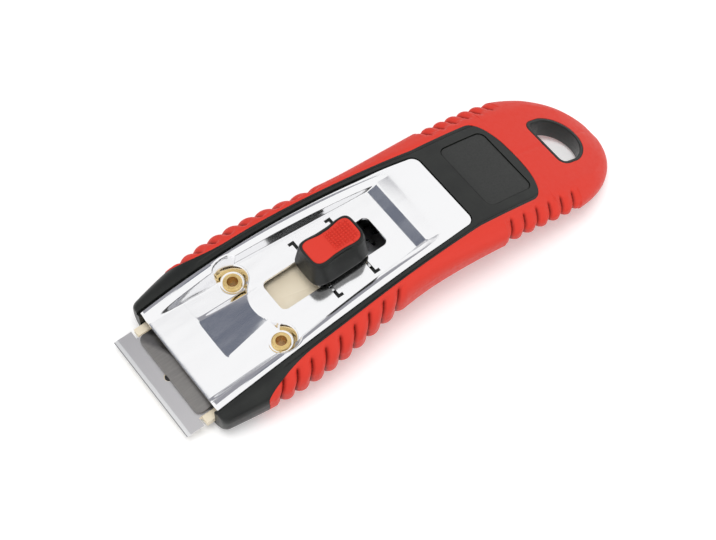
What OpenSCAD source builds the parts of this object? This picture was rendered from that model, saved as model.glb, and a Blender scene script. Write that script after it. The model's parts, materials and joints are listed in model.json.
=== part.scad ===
// Razor blade scraper with a sliding blade carriage, a press-to-unlock knob
// and a two-component handle.
// The pieces are drawn in the slide's own frame: x runs from the nose face
// to the tail, z = 0 is the top of the cover's raised plateau, y = 0 is the
// plane of symmetry. lay() then sets the tool down on a table, resting on the
// pads under its nose and its tail, with the origin under the middle of it.

/* [Handle] */
// Length of the handle from its nose face to its tail
handle_len = 170; // [167:0.5:172]
// Width of the nose at its front face, before its corners are rounded
nose_w = 50; // [49:0.5:51]
// Width across the shoulders of the grip
shoulder_w = 58; // [57:0.2:59.4]
// Width across the waist
waist_w = 47.8; // [47:0.1:49]
// Width across the hips near the tail
hip_w = 51.4; // [50.4:0.2:53]
// Distance from the nose face to the shoulders
shoulder_x = 31; // [29:0.5:34]
// Distance from the nose face to the waist
waist_x = 82; // [80:0.5:87]
// Distance from the nose face to the hips
hip_x = 133; // [131:0.5:136]
// Thickness of the nose
nose_t = 12.4; // [12.2:0.1:13]
// Thickness of the handle at its thickest place
body_t = 18; // [17.8:0.1:19]
// Distance from the nose face to the thickest place
body_x = 58; // [54:0.5:62]
// Thickness of the tail round the hanging hole
tail_t = 8.8; // [8.2:0.1:9.6]
// Radius of the nose's corners, seen from above
nose_r = 2.2; // [2:0.1:2.6]
// Depth of the soft grip on the sides
grip_t = 2.4; // [2:0.1:2.6]
// Distance from the nose face to the front end of the soft grip
grip_x = 14.8; // [13:0.1:16.5]
// Length over which the soft grip's upper edge curls up behind that
grip_curl = 21.2; // [20:0.2:22]
// Distance from the nose face to where the soft grip closes over the top
tail_x = 133.8; // [132.5:0.1:135]

/* [Arch] */
// Radius of the arched top, along the handle
arch_r = 246; // [242:1:256]
// Height of the arch above the plateau
arch_h = 4.1; // [3.8:0.1:4.4]
// Distance from the nose face to the crown of the arch
arch_x = 48.8; // [47:0.1:51]

/* [Hanging hole] */
// Width of the half-moon hole
hang_w = 19.2; // [18:0.2:20]
// Length of the hole, along the handle
hang_len = 12.8; // [12:0.1:13.4]
// Radius of the corners at the hole's straight side
hang_corner_r = 2; // [1.6:0.1:2.4]
// Distance from the nose face to the hole's straight side
hang_x = 147.6; // [146.5:0.1:148.5]
// Wall of the hard lining round the hole
lining_t = 1.3; // [1:0.1:1.6]
// Height of the lining's rims above the soft tail
lining_rise = 0.2; // [0.1:0.05:0.3]
// Depth of the lining's collar that the soft tail is moulded round
collar_t = 3.4; // [3:0.1:4]

/* [Cover] */
// Thickness of the cover's sheet steel
sheet_t = 1; // [0.9:0.05:1.05]
// Setback of the cover from the nose face
cover_set = 0.9; // [0.6:0.1:1.2]
// Length of the cover
cover_len = 102.9; // [102:0.1:104]
// Width of the cover's front edge
cover_front_w = 42.2; // [42:0.1:42.6]
// Width of the cover's rear edge
cover_rear_w = 30.6; // [30:0.1:31.4]
// Outward bow of each side edge
cover_bow = 1.6; // [1.3:0.1:1.8]
// Distance from the nose face to the front of the plateau
plateau_x = 29; // [28.6:0.1:29.6]
// Length of the plateau
plateau_len = 53; // [52:0.2:55]
// Width of the plateau at its front
plateau_front_w = 35.4; // [34:0.1:36]
// Width of the plateau at its rear
plateau_rear_w = 25.8; // [25:0.1:26.6]
// Length of the slope behind the plateau
slope_len = 4.7; // [4.2:0.1:5]
// Depth of the lowered apron below the plateau, at the cover's front edge
apron_drop = 1.2; // [1:0.1:1.4]
// Extra depth of the apron where it meets the plateau
apron_dip = 1.4; // [1.2:0.1:1.5]
// Width of the apron
apron_w = 31.6; // [31:0.1:32.4]
// Length of the ramp from the apron up to the plateau
ramp_len = 15.6; // [14:0.1:16.4]
// Width of the ramp at its foot
ramp_foot_w = 15.8; // [15:0.1:16.4]
// Width of the ramp at its top
ramp_top_w = 11.8; // [11:0.1:12.4]
// Radius of the round bay pressed round each eyelet
bay_r = 5.2; // [5:0.1:5.4]
// Radius of the cover's rear corners
cover_corner_r = 3.4; // [2.6:0.1:4]

/* [Slot] */
// Distance from the slot's front end back to the knob's middle, with the blade out
slot_lead = 22.75; // [22.6:0.05:22.9]
// Length of the slot
slot_len = 40.5; // [40.3:0.1:41]
// Width of the slot
slot_w = 12; // [11.8:0.1:12.4]
// Radius of the slot's corners
slot_r = 2; // [1.6:0.1:2.2]
// Distance from the front pair of lock slits back to the knob's middle
slit_lead = 6.25; // [6.1:0.05:6.4]
// Spacing of the two pairs of lock slits
slit_pitch = 14.1; // [13.7:0.1:14.3]
// Width of a lock slit
slit_w = 1.1; // [1.05:0.05:1.2]
// Width across the outer ends of a pair of slits
slit_span = 24.8; // [24:0.1:25.2]
// Length of the foot at a slit's outer end
slit_foot = 2.3; // [2:0.1:2.6]

/* [Eyelets] */
// Distance from the nose face to the eyelets
eyelet_x = 29.8; // [29.6:0.1:30.2]
// Spacing of the eyelets across the handle
eyelet_span = 25.6; // [25.4:0.1:26]
// Bore of an eyelet
eyelet_bore = 3.6; // [3.4:0.1:3.8]
// Wall of an eyelet's barrel
eyelet_wall = 0.5; // [0.4:0.05:0.6]
// Diameter of an eyelet's rolled head
eyelet_head = 6.2; // [6:0.1:6.6]
// Height of an eyelet's rolled head
eyelet_head_t = 0.8; // [0.7:0.05:0.9]
// Length of an eyelet's barrel between its two heads
eyelet_len = 8.5; // [8.4:0.1:8.6]
// Diameter of the washer under an eyelet
washer_d = 8.6; // [8.2:0.1:9]
// Thickness of the washer
washer_t = 0.5; // [0.4:0.05:0.6]

/* [Blade] */
// Length of the blade's cutting edge
blade_w = 39.4; // [39:0.1:39.5]
// Depth of the blade from its edge to its back
blade_d = 18.9; // [18.4:0.1:19.2]
// Thickness of the blade
blade_t = 0.3; // [0.25:0.05:0.35]
// Width of the ground bevel
bevel_w = 1.4; // [1.2:0.1:1.6]
// Reach of the blade in front of the nose face
blade_out = 10; // [9.8:0.1:10.2]
// Depth of the blade's top below the plateau
blade_z = 6.8; // [6.7:0.05:6.9]
// Depth of the notch in each end of the blade
notch_d = 3; // [2.8:0.1:3.2]
// Length of the notch along the blade's end
notch_len = 6.4; // [6:0.1:6.6]
// Distance of the notch from the cutting edge
notch_x = 6.3; // [6.2:0.1:6.5]
// Diameter of the hole in the middle of the blade
blade_hole = 3; // [2.8:0.1:3.2]
// Distance of that hole's centre from the cutting edge
hole_set = 6.8; // [6.6:0.1:7]

/* [Carriage] */
// Thickness of the carrier's seat under the blade
seat_t = 1.6; // [1.5:0.1:1.7]
// Width of the carrier's seat, without its ears
seat_w = 33.2; // [33:0.1:33.4]
// Distance from the cutting edge to the front of the carrier's seat
seat_set = 3.6; // [3.2:0.1:4]
// Margin of the carrier's seat behind the blade
seat_margin = 4.3; // [4.1:0.1:4.4]
// Width of the carrier's tongue
tongue_w = 15; // [14.6:0.1:15.2]
// Depth of the tongue's top below the plateau
tongue_z = 4.4; // [4.3:0.05:4.5]
// Lap of the tongue over the rear end of the seat
tongue_lap = 3.2; // [3:0.1:3.4]
// Reach of the tongue behind the knob's middle
tongue_reach = 10.75; // [10.6:0.05:10.9]
// Wall of the tongue's top and of its two runners
tongue_wall = 1.6; // [1.4:0.1:1.8]
// Thickness of the clamp plate over the blade
clamp_t = 1; // [0.8:0.05:1]
// Width of the clamp plate
clamp_w = 32.4; // [32:0.1:32.6]
// Distance from the cutting edge to the clamp plate's front edge
clamp_set = 6.4; // [6.2:0.1:6.6]
// Radius of the clamp plate's front corners
clamp_r = 2.2; // [1.8:0.1:2.4]
// Diameter of the rivets through clamp plate and carrier
clamp_rivet_d = 2.4; // [2.2:0.1:2.6]
// Spacing of those rivets
clamp_rivet_span = 20; // [18:0.2:22]
// Height of those rivets' heads
clamp_head_t = 0.6; // [0.5:0.1:0.7]

/* [Lock] */
// Travel of the knob when it is pressed to unlock
press = 1.2; // [1.1:0.05:1.2]
// Thickness of the lock spring's leaf
leaf_t = 0.5; // [0.45:0.05:0.5]
// Width of each of the leaf's two rails
rail_w = 2; // [1.8:0.1:2.1]
// Width across the outsides of the rails
rail_span = 19.2; // [19:0.1:19.4]
// Length of the leaf's bridge, along the slide
bridge_len = 4.6; // [4.2:0.1:4.8]
// Width of the carrier's pad under the bridge
pad_w = 8.2; // [8:0.1:8.4]
// Depth of the tops of the leaf's lugs below the plateau
lug_sink = 0.1; // [0.05:0.05:0.2]
// Diameter of the rivets that hold the leaf
leaf_rivet_d = 1.4; // [1.2:0.1:1.5]
// Spacing of those rivets
leaf_rivet_span = 4.6; // [4.4:0.1:5]
// Height of those rivets' heads
leaf_head_t = 0.35; // [0.3:0.05:0.35]

/* [Knob] */
// Distance from the nose face to the middle of the knob, with the blade out
knob_x = 58.55; // [58.2:0.05:58.8]
// Length of the knob at its base
knob_len = 22; // [21.6:0.1:22.4]
// Width of the knob at its base
knob_w = 14.8; // [14.4:0.1:15]
// Length of the knob at its top
knob_top_len = 19.4; // [18.8:0.1:20]
// Width of the knob at its top
knob_top_w = 11.8; // [11.4:0.1:12.2]
// Depth of the waist in each of the knob's sides
knob_waist = 1.1; // [0.8:0.1:1.3]
// Height of the knob's top above the plateau
knob_z = 11.5; // [11:0.1:12]
// Depth of the finger hollow in the knob's top
knob_dish = 1; // [0.8:0.1:1.2]
// Black edge left round the soft insert
insert_edge = 0.8; // [0.7:0.1:1]
// Depth of the soft insert
insert_t = 1.6; // [1.4:0.1:1.8]
// Length of the knob's stem in the slot
stem_len = 11.5; // [11.2:0.1:11.5]
// Thickness of the foot plate under the cover
foot_t = 1.2; // [1.1:0.05:1.2]
// Length of the foot plate
foot_len = 17; // [16.6:0.1:17.4]
// Width of the foot plate
foot_w = 14.2; // [13.8:0.1:14.4]
// Diameter of the foot plate's screws
screw_d = 1.8; // [1.6:0.1:2]
// Spacing of those screws
screw_span = 8.7; // [8.5:0.1:8.8]
// Length of those screws
screw_len = 6.5; // [6:0.1:7]

/* [Label plate] */
// Distance from the nose face to the front of the label plate
label_x = 111.5; // [110:0.1:112.5]
// Length of the label plate
label_len = 18.6; // [17:0.1:19]
// Width of the label plate
label_w = 26.8; // [25:0.1:27.4]
// Thickness of the label plate
label_t = 1.6; // [1.4:0.1:2]
// Depth of the label plate's face below the handle's
label_sink = 0.4; // [0.3:0.05:0.5]
// Radius of the label plate's corners
label_r = 2.6; // [2:0.1:3.5]

/* [Ribs] */
// Distance from the nose face to the first groove of the front grip
rib_x = 19.3; // [19:0.1:20]
// Spacing of the grooves at the front
rib_pitch = 5.1; // [5:0.05:5.2]
// Growth of that spacing from one groove to the next
rib_growth = 0.16; // [0.12:0.01:0.18]
// Number of grooves in each side of the front grip
rib_count = 9; // [8:1:9]
// Depth of the grooves
rib_depth = 1.1; // [0.8:0.1:1.3]
// Distance from the nose face to the first groove of the tail
tail_rib_x = 112; // [111:0.1:113]
// Spacing of the grooves at the tail
tail_rib_pitch = 5.35; // [5.2:0.05:5.4]
// Number of grooves in each side of the tail
tail_rib_count = 6; // [5:1:6]

/* [Fits] */
// Side clearance of every sliding or loose fit
slide_fit = 0.3; // [0.25:0.05:0.3]
// Clearance between the carrier and the bed plate under it
glide_fit = 0.1; // [0.05:0.05:0.15]
// Clearance of the pieces that are pressed or clamped together
seat_fit = 0.05; // [0.03:0.01:0.06]

/* [Hidden] */
$fn = 48;
round_steps = 360;

// Overrun of every cut past the face that it opens
over = 1;
// Depth that reaches through the whole tool
deep = 3 * body_t;

// Black rim between the cover and the soft grip, and the curve that the
// grip's edge follows round the nose
rim_w = cover_set;
rim_angle = 8;
grip_start_angle = 78;

// Fullness of the sections above and below their widest line
upper_power = 0.86;
lower_power = 0.62;
tail_power = 2.15;
tail_stop_share = 0.985;
tail_round = tail_t;
tail_round_share = 0.8;
tail_rim_share = 0.62;
body_rim_share = 0.92;
wide_nose_share = 0.27;
wide_body_share = 0.33;
wide_tail_share = 0.45;

// Depth that the pads under nose and tail are worn flat
pad_cut = 0.4;

function mix(a, b, t) = a + (b - a) * t;
function clip(t) = max(0, min(1, t));
function ease(t) = (1 - cos(180 * clip(t))) / 2;

// Height of the arched top
function top_line(x) = arch_h - arch_r + sqrt(pow(arch_r, 2) - pow(x - arch_x, 2));

// Half the cover's width
cover_end = cover_set + cover_len;
function cover_half(x) =
    let (t = clip((x - cover_set) / cover_len))
    mix(cover_front_w, cover_rear_w, t) / 2 + 4 * cover_bow * t * (1 - t);

// Rounding of the nose's corners, seen from above
function corner_in(x) = x < nose_r ? nose_r - sqrt(pow(nose_r, 2) - pow(nose_r - x, 2)) : 0;

// Half the handle's width
function half_wide(x) =
    x < shoulder_x ? mix(nose_w, shoulder_w, sin(90 * x / shoulder_x)) / 2 - corner_in(x) :
    x < waist_x ? mix(shoulder_w, waist_w, ease((x - shoulder_x) / (waist_x - shoulder_x))) / 2 :
    x < hip_x ? mix(waist_w, hip_w, ease((x - waist_x) / (hip_x - waist_x))) / 2 :
    let (u = tail_stop_share * (x - hip_x) / (handle_len - hip_x))
    hip_w / 2 * sqrt(1 - pow(u, tail_power));

// Thickness before the tail's end is rounded, and the rounding itself
tail_mid_x = hang_x;
function full_thick(x) =
    x < body_x ? mix(nose_t, body_t, sin(90 * x / body_x)) :
    mix(body_t, tail_t, ease((x - body_x) / (tail_mid_x - body_x)));
function end_round(x) =
    let (u = clip((x - handle_len + tail_round) / tail_round))
    sqrt(1 - tail_round_share * pow(u, 2));
function top_z(x) = top_line(x) - full_thick(x) * (1 - end_round(x)) / 2;
function belly_z(x) = top_line(x) - full_thick(x) * (1 + end_round(x)) / 2;
function wide_share(x) =
    x < shoulder_x ? mix(wide_nose_share, wide_body_share, ease(x / shoulder_x)) :
    mix(wide_body_share, wide_tail_share, ease((x - waist_x) / (tail_mid_x - waist_x)));
function wide_z(x) = mix(top_z(x), belly_z(x), wide_share(x));

// Half the width of the flat top
function rim_half(x) =
    let (t = clip((x - tail_x) / (handle_len - tail_x)))
    min(cover_half(x) + rim_w, half_wide(x) * mix(body_rim_share, tail_rim_share, t));

// One point of the handle's skin. The angle is 0 at the top's edge, 90 at the
// widest line and 180 under the belly; inset is the depth below the skin.
function skin(x, angle, inset = 0) =
    let (wide = half_wide(x) - inset, rim = rim_half(x))
    angle <= 90 ? [
        x,
        rim + (wide - rim) * pow(sin(angle), upper_power),
        wide_z(x) + (top_z(x) - inset - wide_z(x)) * pow(cos(angle), upper_power)
    ] : [
        x,
        wide * pow(max(0, sin(angle)), lower_power),
        wide_z(x) - (wide_z(x) - belly_z(x) - inset) * pow(-cos(angle), lower_power)
    ];
function other_side(p) = [p[0], -p[1], p[2]];
function reversed(list) = [for (i = [len(list) - 1:-1:0]) list[i]];

// Angle at which the grip's upper edge runs, and its lower edge in front
function grip_edge(x) =
    let (t = clip((x - grip_x) / grip_curl))
    mix(grip_start_angle, rim_angle, sqrt(1 - pow(1 - t, 2)));

// Depth of the grip's grooves, by place along the handle and angle round it
rib_steps = 4;
rib_power = 0.6;
rib_angles = [26, 50, 118, 150];
function groove(i) = rib_x + i * (rib_pitch + i * rib_growth / 2);
function groove_index(x) =
    (sqrt(max(0, pow(rib_pitch, 2) + 2 * rib_growth * (x - rib_x))) - rib_pitch) / rib_growth;
function wave(i, count) =
    abs(2 * i + 1 - count) < count ? rib_depth * (1 - pow(abs(sin(180 * i)), rib_power)) : 0;
function rib_in(x) =
    wave(groove_index(x), rib_count) + wave((x - tail_rib_x) / tail_rib_pitch, tail_rib_count);
function rib_share(angle) =
    clip((angle - rib_angles[0]) / (rib_angles[1] - rib_angles[0]))
    * clip((rib_angles[3] - angle) / (rib_angles[3] - rib_angles[2]));
function ribbed(x, angles) =
    [for (a = angles) skin(x, a, rib_in(x) * rib_share(a))];

// Stations along the ribbed grip
smooth_steps = 6;
groove_xs = [for (i = [-rib_steps:rib_steps * rib_count]) groove(i / rib_steps)];
tail_groove_xs = [
    for (i = [-rib_steps:rib_steps * tail_rib_count]) tail_rib_x + tail_rib_pitch * i / rib_steps
];
smooth_xs = [
    for (i = [1:smooth_steps - 1])
        mix(groove(rib_count), tail_rib_x - tail_rib_pitch, i / smooth_steps)
];
last_groove_x = tail_rib_x + tail_rib_pitch * tail_rib_count;
end_xs = [
    for (i = [1:smooth_steps]) mix(last_groove_x, handle_len, sin(90 * i / smooth_steps))
];
rib_xs = concat(groove_xs, smooth_xs, tail_groove_xs, end_xs);
short_step_share = 0.1;
shortest_step = rib_pitch * short_step_share;
function between(first, last) = concat(
    [first], [for (x = rib_xs) if (x > first + shortest_step && x < last - shortest_step) x], [last]
);

// Stations along the core, with the grip's own ones where its edge curls down
nose_steps = 6;
body_steps = 19;
tail_steps = 10;
seam = slide_fit / 2;
nose_xs = [for (i = [0:nose_steps]) (grip_x - seam) * (1 - cos(90 * i / nose_steps))];
body_xs = concat(
    between(grip_x, grip_x + grip_curl),
    [for (i = [1:body_steps]) mix(grip_x + grip_curl, tail_x, i / body_steps)]
);
tail_xs = [for (i = [0:tail_steps]) mix(tail_x, handle_len, sin(90 * i / tail_steps))];
all_xs = concat(nose_xs, body_xs, tail_xs);

// Angles round one side of a section, from one to another
function spread(first, last, steps) = [for (i = [0:steps]) mix(first, last, i / steps)];
function run(x, angles, inset = 0) = [for (a = angles) skin(x, a, inset)];

// A closed section from one side's points, top edge first, ending on the
// belly's middle
function both_sides(side) = concat(side, reversed([for (i = [0:len(side) - 2]) other_side(side[i])]));
edge_steps = 3;
wrap_steps = 9;
seam_angle = 1;
function bare_ring(x) = both_sides(concat(
    run(x, spread(0, grip_edge(x), edge_steps)),
    run(x, spread(grip_edge(x) + seam_angle, 180, wrap_steps))
));
function covered_ring(x) =
    let (edge = grip_edge(x) - seam_angle)
    both_sides(concat(
        run(x, spread(0, edge, edge_steps)), run(x, spread(edge, 180, wrap_steps), grip_t + seam)
    ));

// The grip's section, with its inner side at a station of its own
function wrap_ring(x, inner_x) = concat(
    both_sides(ribbed(x, spread(grip_edge(x), 180, wrap_steps))),
    reversed(both_sides(run(inner_x, spread(grip_edge(inner_x), 180, wrap_steps), grip_t)))
);

// The part of a tail section that closes over the top
function lid(x) =
    let (side = run(x, [0, grip_edge(x) / 2]))
    concat([for (p = reversed(side)) other_side(p)], side);

// The tool's stance on the table
lean = min([
    for (n = nose_xs) max([for (t = tail_xs) atan2(belly_z(n) - belly_z(t), t - n)])
]);
function laid_x(x, z) = x * cos(lean) - z * sin(lean);
function laid_z(x, z) = x * sin(lean) + z * cos(lean);
rest_z = min([for (x = all_xs) laid_z(x, belly_z(x))]) + pad_cut;
front_x = laid_x(-blade_out, -blade_z - blade_t);
back_x = max([for (x = tail_xs) laid_x(x, belly_z(x))]);
middle_x = (front_x + back_x) / 2;

// Sets what is drawn in the slide's frame down on the table
module lay() {
    translate([-middle_x, 0, -rest_z])
        rotate([0, -lean, 0])
            children();
}

// The same, with what would be below the table cut off to leave flat pads
module lay_flat() {
    difference() {
        lay() children();
        translate([-handle_len, -handle_len, -deep])
            cube([2 * handle_len, 2 * handle_len, deep]);
    }
}

// Triangles between two rows of points
function band(a, b) = [
    for (i = [0:len(a) - 1])
        let (j = (i + 1) % len(a))
        each [[a[i], a[j], b[j]], [a[i], b[j], b[i]]]
];

// Triangles from the sides of a flat outline to a point in its middle
function fan(row, middle) = [for (i = [0:len(row) - 1]) [row[i], row[(i + 1) % len(row)], middle]];
function middle_of(x) = [x, 0, wide_z(x)];

// A solid skinned over sections that all have the same number of points; its
// last section closes in a fan when a middle point is given for it
module loft(rings, last_middle = []) {
    n = len(rings[0]);
    last = len(rings) - 1;
    rows = [for (r = [0:last]) [for (i = [0:n - 1]) r * n + i]];
    polyhedron(
        concat([for (ring = rings) each ring], last_middle),
        concat(
            [for (r = [0:last - 1]) each band(rows[r], rows[r + 1])],
            [reversed(rows[0])],
            len(last_middle) > 0 ? fan(rows[last], n * len(rings)) : [rows[last]]
        ),
        convexity = 10
    );
}

// A prism across the tool, from an outline in x and z
module across(outline, width) {
    translate([0, width / 2, 0])
        rotate([90, 0, 0])
            linear_extrude(width)
                polygon(outline);
}

// A plate with round corners, in the plane of x and y
module round_plate(size, radius, height) {
    for (x = [radius, size[0] - radius], y = [radius, size[1] - radius])
        translate([x, y, 0])
            cylinder(r = radius, h = height);
    translate([radius, 0, 0])
        cube([size[0] - 2 * radius, size[1], height]);
    translate([0, radius, 0])
        cube([size[0], size[1] - 2 * radius, height]);
}

// Mirrors a piece to the other side as well
module mirrored_too() {
    children();
    mirror([0, 1, 0]) children();
}

// The tail's own frame: x down along the tail from above the hole's straight
// side, z square to it
tail_tilt = asin((hang_x - arch_x) / arch_r);
module in_tail() {
    translate([hang_x, 0, top_line(hang_x) - tail_t / 2])
        rotate([0, tail_tilt, 0])
            children();
}

// The hole runs straight down through the tail. It is a disc cut off by a
// straight side, with round corners where the two meet
hang_r = hang_w / 2;
moon_side_share = 0.97;
module half_moon(grow) {
    side = hang_r * moon_side_share + grow;
    translate([hang_x, 0, -2 * deep])
        intersection() {
            translate([hang_len - hang_r, 0, 0])
                cylinder(r = hang_r + grow, h = 3 * deep);
            translate([-grow, -side, 0])
                round_plate([hang_len + 2 * grow, 2 * side], hang_corner_r + grow, 3 * deep);
        }
}

// Stations and levels of the mechanism
slot_x = knob_x - slot_lead;
slit_x = knob_x - slit_lead;
travel_in = slot_len - slot_lead - stem_len / 2 - slide_fit;
blade_top = -blade_z;
blade_bottom = blade_top - blade_t;
blade_back = blade_d - blade_out;
seat_bottom = blade_bottom - seat_t;
seat_front = seat_set - blade_out;
seat_back = blade_back + seat_margin;
bed_t = leaf_t;
bed_top = seat_bottom - glide_fit;
floor_z = bed_top - bed_t;
tongue_front = seat_back - tongue_lap;
tongue_back = knob_x + tongue_reach;
tongue_len = tongue_back - tongue_front;
tongue_top = -tongue_z;
chamber_half = blade_w / 2 + slide_fit;
chamber_end = seat_back + travel_in + slide_fit;
channel_half = tongue_w / 2 + slide_fit;
rear_half = rail_span / 2 + slide_fit;
rear_front = slot_x - sheet_t;
rear_end = tongue_back + travel_in + slide_fit;
foot_top = -sheet_t - slide_fit;
foot_bottom = foot_top - foot_t;
leaf_bottom = foot_bottom - leaf_t;
knob_bottom = press + slide_fit;
lug_t = slit_w - slide_fit;
slit_inner = slot_w / 2 + sheet_t;
plateau_end = plateau_x + plateau_len;
bay_z = -apron_drop - apron_dip;
sheet_low = bay_z - sheet_t - over;
spot_z = bay_z - eyelet_len + washer_t;
eyelet_r = eyelet_bore / 2 + eyelet_wall;
hole_x = hole_set - blade_out;
clamp_front = clamp_set - blade_out;
clamp_back = seat_back - slide_fit;
clamp_rivet_x = (blade_back + clamp_back) / 2;
insert_bottom = knob_z - knob_dish - insert_t;

// The cover as seen from above, with its outline moved out by grow
outline_steps = 12;
corner_step = 18;
function cover_side(grow, front) =
    let (last = cover_end - cover_corner_r)
    concat(
        [for (i = [0:outline_steps])
            let (x = mix(front, last, i / outline_steps))
            [x, cover_half(x) + grow]],
        [for (a = [corner_step:corner_step:90])
            [last + (cover_corner_r + grow) * sin(a),
             cover_half(last) - cover_corner_r + (cover_corner_r + grow) * cos(a)]]
    );
module cover_block(grow, front, low) {
    side = cover_side(grow, front);
    translate([0, 0, low])
        linear_extrude(arch_h + over - low)
            polygon(concat(side, reversed([for (p = side) [p[0], -p[1]]])));
}

// Everything below the arched top, lowered by drop
module under_arch(drop) {
    translate([arch_x, 0, arch_h - arch_r])
        rotate([90, 0, 0])
            cylinder(r = arch_r - drop, h = 2 * shoulder_w, center = true, $fn = round_steps);
}

// A tapered strip across the tool, as seen from above
module strip(x1, half1, x2, half2, low, high) {
    translate([0, 0, low])
        linear_extrude(high - low)
            polygon([[x1, half1], [x2, half2], [x2, -half2], [x1, -half1]]);
}

// Room of the pressed plateau, apron and bays above the cover's sheet
slope_run = 2 * slope_len;
slope_rise = 2 * top_line(plateau_end + slope_len);
plateau_taper = (plateau_front_w - plateau_rear_w) / 2 / plateau_len;
function apron_z(x) = -apron_drop - apron_dip * (x - cover_set) / (plateau_x - cover_set);
module plateau_room(grow, drop) {
    half = plateau_front_w / 2 + grow;
    first = plateau_x - grow;
    last = plateau_end + slope_run;
    intersection() {
        across([
            [first, -drop], [plateau_end, -drop], [last, slope_rise - drop],
            [last, arch_h + over], [first, arch_h + over]
        ], 2 * half);
        strip(first, half, last, half - plateau_taper * (last - first), -deep, deep);
    }
}
module apron_room(grow, drop) {
    front = cover_set - over;
    last = plateau_x + grow;
    across([
        [front, apron_z(front) - drop], [last, apron_z(plateau_x) - drop],
        [last, arch_h + over], [front, arch_h + over]
    ], apron_w + 2 * grow);
    mirrored_too()
        translate([eyelet_x, eyelet_span / 2, bay_z - drop])
            cylinder(r = bay_r + grow, h = arch_h + over + drop - bay_z);
}

// The ramp from the apron up to the plateau
module ramp(grow, drop) {
    foot_x = plateau_x - ramp_len;
    last = plateau_x + grow + over;
    intersection() {
        across([
            [foot_x, -deep], [foot_x, apron_z(foot_x) - drop],
            [plateau_x, -drop], [last, -drop], [last, -deep]
        ], ramp_foot_w);
        strip(foot_x, ramp_foot_w / 2 - grow, last, ramp_top_w / 2 - grow, -deep, deep);
    }
}

// What lies below the cover's outer face, or below its inner face when drop
// is the sheet's thickness
module below_cover(grow, drop, rim) {
    difference() {
        intersection() {
            under_arch(drop);
            cover_block(rim, cover_set - rim, sheet_low - drop);
        }
        plateau_room(grow, drop);
        apron_room(grow, drop);
    }
    intersection() {
        ramp(grow, drop);
        cover_block(rim, cover_set - rim, sheet_low - drop);
    }
}

// One lock slit, with its foot towards the nose
module slit() {
    length = slit_span / 2 - slit_inner;
    translate([-slit_w / 2, slit_inner, -sheet_t - over])
        cube([slit_w, length, sheet_t + 2 * over]);
    translate([slit_w / 2 - slit_foot, slit_span / 2 - slit_w, -sheet_t - over])
        cube([slit_foot, slit_w, sheet_t + 2 * over]);
}

module cover_plate() {
    color([0.80, 0.81, 0.83]) lay() difference() {
        below_cover(0, 0, 0);
        below_cover(sheet_t, sheet_t, over);
        translate([slot_x, -slot_w / 2, -sheet_t - over])
            round_plate([slot_len, slot_w], slot_r, sheet_t + 2 * over);
        for (x = [slit_x, slit_x + slit_pitch], turn = [0, 180])
            translate([x, 0, 0])
                rotate([0, 0, turn])
                    slit();
        mirrored_too()
            translate([eyelet_x, eyelet_span / 2, bay_z - sheet_t - over])
                cylinder(r = eyelet_r + seat_fit, h = sheet_t + 2 * over);
    }
}

// Cavities and seats in the handle core
module cavity() {
    top = arch_h + over - floor_z;
    translate([-over, -chamber_half, floor_z])
        cube([chamber_end + over, 2 * chamber_half, top]);
    translate([chamber_end - over, -channel_half, floor_z])
        cube([rear_front - chamber_end + 2 * over, 2 * channel_half, top]);
    translate([rear_front, -rear_half, floor_z])
        cube([rear_end - rear_front, 2 * rear_half, top]);
}
module cover_seat() {
    difference() {
        cover_block(seat_fit, -over, sheet_low);
        below_cover(sheet_t, sheet_t, 2 * over);
    }
}
module eyelet_seats() {
    mirrored_too()
        translate([eyelet_x, eyelet_span / 2, 0]) {
            translate([0, 0, -deep])
                cylinder(r = eyelet_r + slide_fit, h = deep);
            translate([0, 0, -deep])
                cylinder(r = washer_d / 2 + slide_fit, h = deep + spot_z);
        }
}
module label_block(grow, low) {
    translate([label_x - grow, -label_w / 2 - grow, low])
        round_plate([label_len + 2 * grow, label_w + 2 * grow], label_r, arch_h + over - low);
}
label_low = top_line(label_x + label_len) - label_t - over;

// The tongue of the core inside the soft tail, and the lining of the hole
slab_half = hang_r + 2 * lining_t;
slab_start = hang_w + 2 * lining_t;
slab_end = (hang_len + 2 * lining_t) / cos(tail_tilt);
slab_r_share = 0.5;
module tail_slab() {
    translate([-slab_start, -slab_half, -collar_t / 2])
        round_plate([slab_start + slab_end, 2 * slab_half], hang_r * slab_r_share, collar_t);
}
module hole_lining() {
    intersection() {
        half_moon(lining_t);
        difference() {
            under_arch(-lining_rise);
            translate([0, 0, -tail_t])
                under_arch(lining_rise);
        }
    }
}
module core() {
    color([0.16, 0.16, 0.15]) lay_flat() difference() {
        union() {
            loft(
                concat([for (x = nose_xs) bare_ring(x)], [for (x = body_xs) covered_ring(x)]),
                [middle_of(tail_x)]
            );
            in_tail() tail_slab();
            hole_lining();
        }
        cavity();
        cover_seat();
        eyelet_seats();
        difference() {
            label_block(seat_fit, label_low);
            under_arch(label_sink + label_t);
        }
        half_moon(0);
    }
}

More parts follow.
